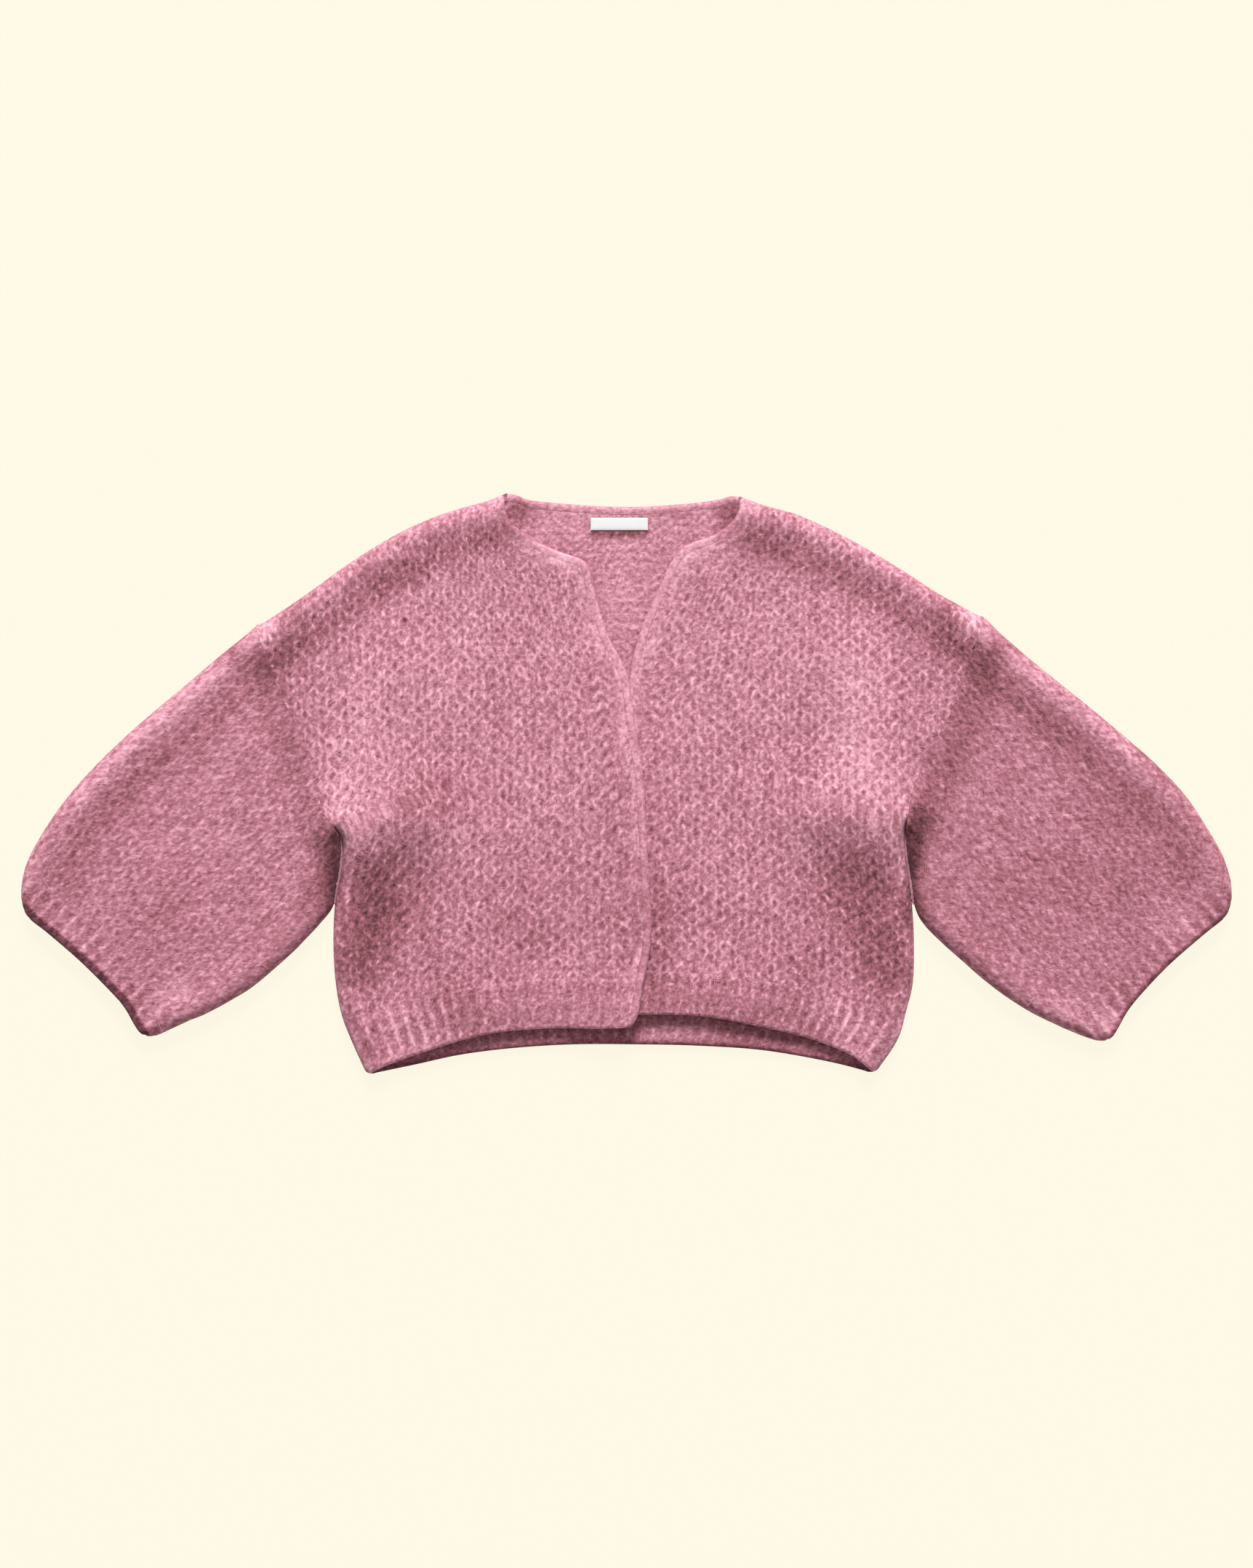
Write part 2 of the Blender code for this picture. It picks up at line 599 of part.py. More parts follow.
def sleeve_rings(grid, over, under, ribs=None):
    """Points of a flattened tube from the plan grid of its flat part.

    grid rows run down the arm and its columns from the upper fold to the lower one.
    over and under are the directions that leave those folds, one a row.
    """
    z = height(grid)
    rib = 0.0 if ribs is None else ribs
    outer = [join(grid, z + rib)]
    inner = [join(grid, z - WALL)]

    def fold(edge, out, z_edge, down):
        angles = np.radians((30.0, 60.0, 90.0, 120.0, 150.0))
        if not down:
            angles = angles[::-1]
        for angle in angles:
            wide = np.sin(angle)
            lift = np.cos(angle)
            tall = (z_edge - MID) if lift > 0 else np.full(len(z_edge), MID)
            thin = (z_edge - WALL - MID) if lift > 0 else np.full(len(z_edge), MID - WALL)
            outer.append(join(edge + out * FOLD * wide, MID + tall * lift)[:, None])
            inner.append(join(edge + out * (FOLD - WALL) * wide, MID + thin * lift)[:, None])

    fold(grid[:, -1], under, z[:, -1], True)
    flat = grid[:, ::-1]
    outer.append(join(flat, np.zeros(flat.shape[:2])))
    inner.append(join(flat, np.full(flat.shape[:2], WALL)))
    fold(grid[:, 0], over, z[:, 0], False)
    return np.concatenate(outer, axis=1), np.concatenate(inner, axis=1)


def sleeve(half, name, rows_arm, rows):
    table = half.table
    top = dense(table["sleeve_top"], 12.0)
    top_out = normals(top, -half.hand)
    under = dense(table["sleeve_under"], 12.0)
    under_out = normals(under, half.hand)
    seam = dense(table["cuff_seam"], 12.0)
    stations = half.arm_stations(rows_arm)[::-1]
    arm = pick(half.flank, stations) + pick(half.flank_out, stations) * SEAM / 2.0
    over_line = top - top_out * FOLD
    under_line = under - under_out * FOLD
    top_end, seam_a = crossing(over_line, seam)
    under_end, seam_b = crossing(under_line, seam)
    top_start = nearest(over_line, arm[0])
    under_start = nearest(under_line, arm[-1])
    back_off = SEAM / 2.0 / STEP
    north = straight(over_line, rows, top_start, top_end - back_off)
    south = straight(under_line, rows, under_start, under_end - back_off)
    mouth = straight(seam, rows_arm, seam_a, seam_b)
    back = arm.mean(axis=0) - mouth.mean(axis=0)
    mouth = mouth + back / np.linalg.norm(back) * SEAM / 2.0
    north[0], south[0] = arm[0], arm[-1]
    north[-1], south[-1] = mouth[0], mouth[-1]
    grid = coons(arm, mouth, north, south)
    over = turn_at(pick(top_out, np.linspace(top_start, top_end, rows)), first=half.rise,
                   last=pick(seam, seam_a) - pick(seam, seam_a + 4.0))
    over[0] = up_at_tip(half)
    below = turn_at(pick(under_out, np.linspace(under_start, under_end, rows)),
                    last=pick(seam, seam_b) - pick(seam, seam_b - 4.0))
    below[0] = (pick(half.flank, half.underarm) - arm[-1]) / FOLD
    outer, inner = sleeve_rings(grid, over, below)
    return loft(name, outer, inner, ring=True)


def cuff(half, name, ribs, rows):
    table = half.table
    top = dense(table["cuff_top"], 26.0)
    top_out = normals(top, -half.hand)
    under = dense(table["cuff_under"], 26.0)
    under_out = normals(under, half.hand)
    seam = dense(table["cuff_seam"], 12.0)
    end = dense(table["cuff_edge"], 12.0)
    over_line = top - top_out * FOLD
    under_line = under - under_out * FOLD
    a0, s0 = crossing(over_line, seam)
    a1, e0 = crossing(over_line, end)
    b0, s1 = crossing(under_line, seam)
    b1, e1 = crossing(under_line, end)
    columns = 2 * ribs + 1
    start = straight(seam, columns, s0, s1)
    stop = straight(end, columns, e0, e1)
    nudge = (stop.mean(axis=0) - start.mean(axis=0))
    start = start + nudge / np.linalg.norm(nudge) * SEAM / 2.0
    north = straight(over_line, rows, a0, a1)
    south = straight(under_line, rows, b0, b1)
    north[0], south[0] = start[0], start[-1]
    grid = coons(start, stop, north, south)
    grid = np.vstack([grid[:-1], (grid[-1:] * 0.8 + grid[-2:-1] * 0.2), grid[-1:]])
    wave = rib_wave(columns, ribs)[None, :]
    last_over = pick(end, e0 - 3.0) - pick(end, e0)
    last_under = pick(end, e1 + 3.0) - pick(end, e1)
    spots = np.linspace(a0, a1, rows)
    spots = np.concatenate([spots[:-1], [spots[-1] * 0.8 + spots[-2] * 0.2], spots[-1:]])
    over = turn_at(pick(top_out, spots), pick(seam, s0) - pick(seam, s0 + 4.0), last_over, 2)
    spots = np.linspace(b0, b1, rows)
    spots = np.concatenate([spots[:-1], [spots[-1] * 0.8 + spots[-2] * 0.2], spots[-1:]])
    below = turn_at(pick(under_out, spots), pick(seam, s1) - pick(seam, s1 - 4.0), last_under, 2)
    outer, inner = sleeve_rings(grid, over, below, wave)
    return loft(name, outer, inner, ring=True)


def neck_label():
    size = (LABEL["right"] - LABEL["left"], LABEL["high"] - LABEL["low"], LABEL["thick"])
    bpy.ops.mesh.primitive_cube_add(size=1.0)
    label = bpy.context.object
    label.name = "neck_label"
    label.data.name = "neck_label"
    for corner in label.data.vertices:
        corner.co = [c * s * MM for c, s in zip(corner.co, size)]
    label.location = ((LABEL["right"] + LABEL["left"]) / 2.0 * MM,
                      (LABEL["high"] + LABEL["low"]) / 2.0 * MM,
                      (WALL + SEAM + LABEL["thick"] / 2.0) * MM)
    for home in list(label.users_collection):
        home.objects.unlink(label)
    PARTS.objects.link(label)
    return label


def build():
    right = Half(RIGHT, 1)
    left = Half(LEFT, -1)
    pieces = (
        (back_panel(right, left, 8, 15, 7, 11), PINK),
        (back_hem(right, left, BACK_RIBS, 3), SHADE),
        (neck_band(15), EDGING),
        (front_panel(right, "right_front_panel", lapped, 18, 7, 11), PINK),
        (front_panel(left, "left_front_panel", height, 18, 7, 11), PINK),
        (front_hem(right, "right_front_hem", lapped, HEM_RIBS["right"], 5), SHADE),
        (front_hem(left, "left_front_hem", height, HEM_RIBS["left"], 5), SHADE),
        (front_band(right, "right_front_band", lapped, 5, 19), EDGING),
        (front_band(left, "left_front_band", height, 5, 19), EDGING),
        (sleeve(right, "right_sleeve", 11, 14), PINK),
        (sleeve(left, "left_sleeve", 11, 14), PINK),
        (cuff(right, "right_cuff", CUFF_RIBS, 3), SHADE),
        (cuff(left, "left_cuff", CUFF_RIBS, 3), SHADE),
        (neck_label(), WHITE),
    )
    for piece, colour in pieces:
        finish(piece, colour)


for old in list(bpy.data.objects):
    bpy.data.objects.remove(old, do_unlink=True)
PARTS = bpy.data.collections.new("mohair_cardigan")
bpy.context.scene.collection.children.link(PARTS)
build()
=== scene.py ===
import math

import bpy
import numpy as np
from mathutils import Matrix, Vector


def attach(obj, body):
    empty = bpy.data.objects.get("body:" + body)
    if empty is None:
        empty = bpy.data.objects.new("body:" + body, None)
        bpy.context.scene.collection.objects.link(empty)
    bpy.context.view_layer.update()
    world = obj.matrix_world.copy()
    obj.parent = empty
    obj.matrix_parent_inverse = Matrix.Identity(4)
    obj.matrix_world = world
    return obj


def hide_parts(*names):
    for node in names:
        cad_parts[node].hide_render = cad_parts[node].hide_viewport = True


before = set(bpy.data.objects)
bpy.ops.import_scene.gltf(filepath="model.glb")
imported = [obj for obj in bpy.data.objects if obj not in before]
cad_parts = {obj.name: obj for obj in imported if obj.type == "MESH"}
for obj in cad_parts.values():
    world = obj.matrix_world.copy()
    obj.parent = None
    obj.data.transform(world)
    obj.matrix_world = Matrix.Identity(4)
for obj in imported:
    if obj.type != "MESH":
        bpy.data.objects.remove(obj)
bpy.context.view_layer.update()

# Looks of a cropped mohair cardigan, laid out flat. Every CAD solid is replaced by a
# finer wall on the same curves, with its stitches raised in the outer skin. Sizes are
# millimetres until a mesh is made. "right" and "left" are the wearer's.

MM = 0.001
WALL = 6.0          # thickness of the brushed knit
TOP = 15.0          # height of the upper layer's outer face above the surface
MID = TOP / 2.0     # height of the line where the two layers meet at a folded side
SEAM = 0.12         # gap between two pieces along a seam
FOLD = 11.0         # how far in from the outline the knit starts to round over
BAND = 7.0          # width of the rolled edging
RIM = 1.6           # how much fuller the knit stands beside the outline
RIM_AT = 14.0
RIM_WIDTH = 9.0
LAP = 8.0           # how much higher the right front lies where it crosses the left one
LAP_REACH = 55.0
STEP = 1.5          # spacing of the points along a drawn curve
DRAWN = 1.35        # how much longer the knit is round a fold than in plan
CURL = tuple(np.linspace(9.0, 90.0, 10))
HEM_RIBS = {"right": 21, "left": 22}
BACK_RIBS = 40
CUFF_RIBS = 13
HEM_DEPTH = 49.0
PANEL_TIP = -1.3    # how far the panels and the sleeves move their outlines to meet
SLEEVE_TIP = 0.6    # in one line by the armhole's top

WALE = 13.6         # width of one stitch on the body
COURSE = 11.4       # height of one row of stitches
ARM_WALE = 12.8
ARM_COURSE = 11.9
ARM_ANGLE = 49.0    # slope of the arms, in degrees
NAP_ANGLE = 43.0    # slope of the nap on them
RELIEF = 0.9        # how far a strand stands over the hole beside it

RIGHT = {
    "shoulder": ((-107, 260), (-124, 253), (-150, 246), (-176, 237), (-202, 225),
                 (-228, 210), (-254, 193), (-280, 174), (-306, 156), (-331, 140)),
    "armhole": ((-331, 140), (-322, 112), (-310, 83), (-297, 57), (-284, 31),
                (-277, 1), (-270, -25), (-255, -47)),
    "side": ((-255, -47), (-254, -64), (-257, -86), (-261, -112), (-262, -145),
             (-260, -177), (-255, -205), (-246, -229), (-232, -260)),
    "sleeve_top": ((-331, 140), (-358, 119), (-384, 97), (-410, 75), (-436, 53),
                   (-462, 29), (-488, 2), (-511, -27), (-529, -56), (-537, -73)),
    "sleeve_under": ((-255, -47), (-254.7, -66), (-257.8, -89), (-262.6, -110),
                     (-274, -125), (-287, -139), (-301, -153), (-331, -179),
                     (-351, -192), (-375, -205), (-392, -212)),
    "cuff_top": ((-537, -73), (-540, -86), (-541, -98), (-540, -110)),
    "cuff_under": ((-392, -212), (-407, -219), (-418, -224), (-428, -227)),
    "cuff_seam": ((-537, -73), (-501, -99), (-462, -133), (-426, -171), (-392, -212)),
    "cuff_edge": ((-539, -114), (-530, -123), (-517, -133), (-487, -159), (-459, -187),
                  (-448, -200), (-440, -214), (-433, -225)),
    "edge": ((3, -218), (8, -211), (11, -203), (14, -183), (19, -160), (22, -136),
             (22, -110), (18, -45), (15, 5), (9, 44), (4, 82), (0, 99), (-7, 115),
             (-15, 129), (-21, 146), (-26, 163), (-30, 179), (-33, 193), (-41, 201),
             (-56, 206), (-73, 213), (-89, 222), (-104, 235), (-109, 247), (-107, 260)),
    "hem": ((5, -217), (-26, -218), (-66, -218), (-108, -221), (-135, -226),
            (-161, -233), (-208, -249), (-232, -260)),
    "hem_seam": ((17, -172), (-69, -173), (-137, -180), (-196, -191), (-255, -207)),
}
LEFT = {
    "shoulder": ((101, 257), (123, 249), (149, 242), (175, 231), (201, 218),
                 (227, 203), (253, 187), (279, 170), (299, 159), (319, 148)),
    "armhole": ((319, 148), (312, 125), (301, 96), (292, 70), (279, 44), (265, 19),
                (256, -5), (251, -25), (249, -41)),
    "side": ((249, -41), (249, -59), (253, -86), (256, -118), (257, -145), (256, -177),
             (250, -203), (242, -229), (222, -259)),
    "sleeve_top": ((319, 148), (344, 126), (370, 104), (396, 83), (422, 62), (448, 40),
                   (474, 17), (500, -11), (520, -41), (532, -62), (537, -75)),
    "sleeve_under": ((249, -41), (249.8, -62), (253.7, -87), (258.4, -112), (267, -127),
                     (284, -144), (301, -159), (318, -174), (339, -190), (363, -205),
                     (390, -218)),
    "cuff_top": ((537, -75), (540, -87), (541, -99), (540, -110)),
    "cuff_under": ((390, -218), (407, -225), (419, -229), (429, -231)),
    "cuff_seam": ((537, -75), (501, -103), (462, -136), (425, -174), (390, -218)),
    "cuff_edge": ((539, -114), (530, -123), (516, -134), (485, -161), (461, -186), (448, -202),
                  (440, -216), (433, -228)),
    "edge": ((-6, -206), (-6, -145), (-7, -80), (-9, -15), (-8, 30), (-4, 66), (1, 91),
             (4, 105), (8, 121), (13, 138), (20, 155), (28, 172), (38, 195), (48, 209),
             (60, 216), (77, 222), (92, 232), (100, 244), (101, 257)),
    "hem": ((-6, -206), (47, -206), (80, -209), (121, -217), (152, -224), (177, -232),
            (202, -243), (222, -259)),
    "hem_seam": ((-6, -164), (58, -168), (123, -175), (188, -188), (250, -205)),
}
BACK_NECK = ((-107, 260), (-98, 258.4), (-86, 254), (-46, 250), (-1, 248), (45, 250),
             (80, 254), (92, 257.3), (101, 257))
BACK_HEM = ((-232, -260), (-189, -251), (-147, -242), (-98, -236), (-46, -233), (6, -233),
            (58, -234), (110, -237), (147, -242), (188, -250), (222, -259))
LABEL = {"left": -32.0, "right": 19.0, "low": 227.0, "high": 238.0, "thick": 0.7}

# The largest soft folds of the upper layer: start x, start y, end x, end y, width, height.
FOLDS = (
    (-246, -34, -186, -28, 34, 9.0),
    (-236, 30, -218, 100, 38, 3.5),
    (238, -30, 176, -24, 34, 9.0),
    (222, 30, 206, 110, 36, 4.5),
    (-238, -108, -205, -96, 26, -1.6),
    (232, -108, 190, -92, 28, -1.6),
    (-214, -212, -196, -206, 20, 1.5),
    (200, -208, 214, -200, 20, 1.5),
    (-150, -200, 130, -196, 24, 2.0),
    (-344, 100, -322, 60, 16, -1.4),
    (334, 106, 312, 62, 16, -1.4),
    (-300, 10, -280, -70, 14, -1.6),
    (280, 8, 268, -70, 14, -1.6),
    (-470, -60, -400, -150, 60, 2.0),
    (470, -60, 400, -150, 60, 2.0),
)


# Curves

def dense(points, reach=0.0):
    """A smooth curve through the points, as points STEP apart, run on by reach."""
    p = np.array(points, dtype=float)
    first = 2.0 * p[0] - p[1]
    last = 2.0 * p[-1] - p[-2]
    q = np.vstack([first, p, last])
    t = np.linspace(0.0, 1.0, 24, endpoint=False)[:, None]
    runs = []
    for a, b, c, d in zip(q[:-3], q[1:-2], q[2:-1], q[3:]):
        runs.append(0.5 * (2.0 * b + (c - a) * t
                           + (2.0 * a - 5.0 * b + 4.0 * c - d) * t ** 2
                           + (3.0 * b - a - 3.0 * c + d) * t ** 3))
    curve = np.vstack(runs + [p[-1:]])
    if reach > 0.0:
        head = curve[0] - curve[1]
        tail = curve[-1] - curve[-2]
        start = curve[0] + head / np.linalg.norm(head) * reach
        end = curve[-1] + tail / np.linalg.norm(tail) * reach
        curve = np.vstack([start, curve, end])
    return even(curve, max(2, int(round(length(curve) / STEP)) + 1))


def length(curve):
    return float(np.linalg.norm(np.diff(curve, axis=0), axis=1).sum())


def even(curve, count):
    """The curve as count points, evenly spaced along it."""
    run = np.concatenate([[0.0], np.cumsum(np.linalg.norm(np.diff(curve, axis=0), axis=1))])
    at = np.linspace(0.0, run[-1], count)
    return np.stack([np.interp(at, run, curve[:, 0]), np.interp(at, run, curve[:, 1])], axis=1)


def pick(curve, index):
    """Points of the curve at fractional indices."""
    index = np.clip(np.asarray(index, dtype=float), 0.0, len(curve) - 1.0)
    low = np.minimum(index.astype(int), len(curve) - 2)
    part = (index - low)[..., None]
    return curve[low] * (1.0 - part) + curve[low + 1] * part


def normals(curve, turn):
    """Unit normals, to the left of the curve's direction for turn 1, to the right for -1."""
    d = np.gradient(curve, axis=0)
    for _ in range(2):
        d[1:-1] = (d[:-2] + 2.0 * d[1:-1] + d[2:]) / 4.0
    d /= np.linalg.norm(d, axis=1)[:, None]
    return turn * np.stack([-d[:, 1], d[:, 0]], axis=1)


def crossing(a, b):
    """Where two curves first cross, as a fractional index on each."""
    p, r = a[:-1, None], (a[1:] - a[:-1])[:, None]
    q, s = b[None, :-1], (b[1:] - b[:-1])[None]
    down = r[..., 0] * s[..., 1] - r[..., 1] * s[..., 0]
    down = np.where(np.abs(down) < 1e-12, 1e-12, down)
    w = q - p
    t = (w[..., 0] * s[..., 1] - w[..., 1] * s[..., 0]) / down
    u = (w[..., 0] * r[..., 1] - w[..., 1] * r[..., 0]) / down
    hit = np.argwhere((t >= 0.0) & (t < 1.0) & (u >= 0.0) & (u < 1.0))
    i, j = hit[0]
    return i + t[i, j], j + u[i, j]


def nearest(curve, point):
    """The index of the curve's point nearest to a given point."""
    return float(np.argmin(np.linalg.norm(curve - point, axis=1)))


def distance(points, curve):
    """Distance from each point to a curve, worked out a block of points at a time."""
    flat = points.reshape(-1, 2)
    found = np.empty(len(flat))
    for low in range(0, len(flat), 8000):
        block = flat[low:low + 8000, None] - curve[None, ::2]
        found[low:low + 8000] = np.sqrt((block ** 2).sum(axis=-1).min(axis=-1))
    return found.reshape(points.shape[:-1])


def soft(value):
    value = np.clip(value, 0.0, 1.0)
    return value * value * (3.0 - 2.0 * value)


def mixed(a, b, share):
    return a * (1.0 - share) + b * share


def both(*names):
    """The named curves of both halves, one after the other."""
    return np.vstack([dense(half[name]) for half in (RIGHT, LEFT) for name in names])


def x_at(curve, y):
    """Where a curve that runs up the garment passes each height."""
    order = np.argsort(curve[:, 1])
    return np.interp(y, curve[order, 1], curve[order, 0])


def stroked(base, points, strokes):
    """The base raised or lowered along each stroke, fading out over its width."""
    for x0, y0, x1, y1, width, amount in strokes:
        start = np.array((x0, y0), dtype=float)
        along = np.array((x1, y1), dtype=float) - start
        share = ((points - start) @ along / (along @ along)).clip(0.0, 1.0)
        gap = np.linalg.norm(points - start - share[..., None] * along, axis=-1)
        base = base + amount * np.exp(-(gap / width) ** 2)
    return base


OUTLINE = both("shoulder", "sleeve_top", "sleeve_under", "side")
LEFT_EDGE = dense(LEFT["edge"])


def height(points):
    """Height of the upper layer's outer face above the surface."""
    z = np.full(points.shape[:-1], TOP)
    z += RIM * np.exp(-((distance(points, OUTLINE) - RIM_AT) / RIM_WIDTH) ** 2)
    return stroked(z, points, FOLDS)


def lapped(points):
    """The same for the right front, which rises over the left one."""
    over = soft((points[..., 0] - x_at(LEFT_EDGE, points[..., 1]) + LAP_REACH + 4.0) / LAP_REACH)
    return height(points) + LAP * over * soft((170.0 - points[..., 1]) / 55.0)


def coons(south, north, west, east, share=None):
    """A grid between four edges, whose rows lie evenly or at given shares of the way up."""
    if share is None:
        share = np.linspace(0.0, 1.0, len(west))
    u = np.linspace(0.0, 1.0, len(south))[None, :, None]
    v = share[:, None, None]
    flat = (1 - v) * south[None] + v * north[None] + (1 - u) * west[:, None] + u * east[:, None]
    return flat - ((1 - u) * (1 - v) * south[0] + u * (1 - v) * south[-1]
                   + (1 - u) * v * north[0] + u * v * north[-1])


def turn_at(out, first=None, last=None, blend=3):
    """Directions that leave an edge: its normals, bent at the ends to follow a seam."""
    out = out.copy()
    count = len(out)
    for lead, ends in ((first, range(blend)), (last, range(count - 1, count - 1 - blend, -1))):
        if lead is None:
            continue
        for step, i in enumerate(ends):
            share = soft(1.0 - step / blend)
            way = (1.0 - share) * out[i] + share * lead / np.linalg.norm(lead)
            out[i] = way / max(0.35, float(way @ out[i]))
    return out


def join(plan, z):
    return np.concatenate([plan, z[..., None]], axis=-1)


class Sheet:
    """Outer and inner face of one layer in plan, its curl at folds, and the knit's own plan."""

    def __init__(self, grid):
        self.outer = grid.copy()
        self.inner = grid.copy()
        self.knit = grid.copy()
        self.bend = np.zeros(grid.shape[:2])

    def add(self, edge, out, curl, reach=FOLD):
        """edge: 'north' or 'east'. out: one direction a point. curl: 0 to 1 a point."""
        if edge == "east":
            self.flip()
        curl = np.asarray(curl, dtype=float)
        base_outer, base_inner = self.outer[-1].copy(), self.inner[-1].copy()
        base_bend, base_knit = self.bend[-1].copy(), self.knit[-1].copy()
        for k, angle in enumerate(CURL):
            rad = np.radians(angle)
            flat = reach * (k + 1) / len(CURL)
            go_outer = (1 - curl) * flat + curl * FOLD * np.sin(rad)
            go_inner = (1 - curl) * flat + curl * (FOLD - WALL) * np.sin(rad)
            go_knit = (1 - curl) * flat + curl * DRAWN * FOLD * rad / (0.5 * np.pi)
            bend = 1.0 - (1.0 - base_bend) * (1.0 - curl * (1.0 - np.cos(rad)))
            self.outer = np.vstack([self.outer, (base_outer + out * go_outer[:, None])[None]])
            self.inner = np.vstack([self.inner, (base_inner + out * go_inner[:, None])[None]])
            self.knit = np.vstack([self.knit, (base_knit + out * go_knit[:, None])[None]])
            self.bend = np.vstack([self.bend, bend[None]])
        if edge == "east":
            self.flip()

    def change(self, how):
        for part in ("outer", "inner", "knit", "bend"):
            setattr(self, part, how(getattr(self, part)))

    def flip(self):
        self.change(lambda grid: grid.swapaxes(0, 1))

    def mirror(self):
        self.change(lambda grid: grid[:, ::-1])

    def upper(self, top):
        """Outer and inner points of the upper layer."""
        z = top(self.outer)
        low = MID + SEAM / 2.0
        z_out = low + (z - low) * (1.0 - self.bend)
        z_in = low + (z - WALL - low) * (1.0 - self.bend)
        return join(self.outer, z_out), join(self.inner, z_in)

    def lower(self):
        """Outer and inner points of the lower layer, whose outer face is underneath."""
        high = MID - SEAM / 2.0
        z_out = high * self.bend
        z_in = high + (WALL - high) * (1.0 - self.bend)
        return join(self.outer, z_out), join(self.inner, z_in)


class Half:
    """The drawn curves of one half, with the normals that point out of the garment."""

    def __init__(self, table, hand):
        self.hand = hand
        self.table = table
        self.edge = dense(table["edge"], 12.0)
        self.edge_out = normals(self.edge, -hand)
        self.shoulder = dense(table["shoulder"], 12.0)
        self.shoulder_out = normals(self.shoulder, -hand)
        flank = tuple(reversed(table["side"])) + tuple(reversed(table["armhole"]))[1:]
        self.flank = dense(flank, 12.0)
        self.flank_out = normals(self.flank, hand)
        # where the flat knit ends: at the edging, the shoulder's fold and the side's fold
        self.edge_in = self.edge - self.edge_out * (BAND + SEAM)
        self.crown = self.shoulder - self.shoulder_out * FOLD
        self.flank_in = self.flank - self.flank_out * FOLD
        self.hem = dense(table["hem"], 30.0)
        self.seam = dense(table["hem_seam"], 30.0)
        self.seam_out = normals(self.seam, hand)
        self.underarm = int(nearest(self.flank, np.array(table["side"][0], dtype=float)))
        tip, self.tip_at = crossing(self.flank, self.shoulder)
        self.rise = pick(self.flank, tip) - pick(self.flank, tip - 8.0)

    def arm_stations(self, count):
        """Where the sleeve meets the body: indices from just over the underarm up."""
        top, _ = crossing(self.flank, self.crown)
        return np.linspace(self.underarm + FOLD / STEP, top, count)

    def flank_stations(self, low, side_rows, arm_rows):
        """The same, after even steps up the side from its lowest point."""
        side = np.linspace(low, self.underarm, side_rows + 1)
        return np.concatenate([side, self.arm_stations(arm_rows)])

    def up_at_tip(self):
        """Direction from the inset corner at the armhole's top out to the outline."""
        out = pick(self.shoulder_out, self.tip_at)
        return self.rise / float(self.rise @ out)


def straight(curve, count, a, b):
    return pick(curve, np.linspace(a, b, count))


# Random values that are the same in every run

TABLE = np.random.default_rng(61).uniform(-1.0, 1.0, (512, 512))


def field(x, y, size, layer):
    """Smooth random values from -1 to 1 that change over about size millimetres."""
    gx, gy = x / size + 37.3 * layer, y / size + 91.7 * layer
    i, j = np.floor(gx).astype(int), np.floor(gy).astype(int)
    fx, fy = soft(gx - i), soft(gy - j)
    low = mixed(TABLE[i % 512, j % 512], TABLE[(i + 1) % 512, j % 512], fx)
    high = mixed(TABLE[i % 512, (j + 1) % 512], TABLE[(i + 1) % 512, (j + 1) % 512], fx)
    return mixed(low, high, fy)


def of_cell(i, j, layer):
    """One random value for each whole pair of numbers."""
    i, j = np.asarray(i).astype(int), np.asarray(j).astype(int)
    return TABLE[(i + 97 * layer) % 512, (j * 3 + 53 * layer) % 512]


# Knitted structures: u counts wales and v counts courses. Each gives the yarn's share, about
# 1 on top of a strand, 0.5 on average and 0 in the hole beside it.
# Through the wool's colours the strand tops come out lighter and the holes darker, partly as
# painted light and shade on the stitches' relief.

# The legs of a cell: where each lies, which way it leans and how bright it is.
LEGS = ((0.25, 0.27, 1.0, 1.15), (0.75, 0.27, -1.0, 1.15), (0.25, 0.77, -1.0, 0.70),
        (0.75, 0.77, 1.0, 0.70))


def holes(u, v, wale, course, wide, tall, layer):
    """Soft dark ovals between the strands, one a cell."""
    i, j = np.round(u), np.round(v)
    du = (u - i - 0.10 * of_cell(i, j, layer)) * wale
    dv = (v - j - 0.10 * of_cell(i, j, layer + 1)) * course
    du = du + 0.20 * dv * of_cell(i, j, layer + 4)
    size = 1.0 + 0.22 * of_cell(i, j, layer + 2)
    deep = 0.72 + 0.32 * of_cell(i, j, layer + 3)
    return deep * np.exp(-(du / (wide * size)) ** 2 - (dv / (tall * size)) ** 2)


def legs(u, v, wale, course, lean, half, thin, weights):
    """The short leaning strokes of the stitches' legs, four a cell, no two quite alike."""
    total = np.zeros(np.shape(u))
    i0, j0 = np.floor(u).astype(int), np.floor(v).astype(int)
    for di in (-1, 0, 1):
        for dj in (-1, 0, 1):
            i, j = i0 + di, j0 + dj
            for n, (su, sv, sign, part) in enumerate(LEGS):
                du = (u - i - su - 0.13 * of_cell(4 * i + n, j, 20)) * wale
                dv = (v - j - sv - 0.13 * of_cell(4 * i + n, j, 21)) * course
                angle = sign * lean + 0.24 * of_cell(4 * i + n, j, 22)
                c, w = np.cos(angle), np.sin(angle)
                along = du * w + dv * c
                across = du * c - dv * w - 0.05 * sign * along ** 2
                light = part * np.clip(0.66 + 0.44 * of_cell(4 * i + n, j, 23), 0.0, 1.3)
                light = light * (weights[0] if sign > 0 else weights[1])
                total += light * np.exp(-(along / half) ** 2 - (across / thin) ** 2)
    return total


def stocking(u, v):
    """The smooth side on the body: rows of leaning legs round upright ovals."""
    h = holes(u, v + 0.5, WALE, COURSE, 2.2, 3.5, 50)
    h = h + holes(u + 0.5, v - 0.04, WALE, COURSE, 2.2, 3.4, 60)
    d = legs(u, v, WALE, COURSE, 0.55, 2.9, 1.15, (1.0, 1.0))
    return 0.46 - 0.48 * h + 0.64 * d * (1.0 - 0.25 * h)


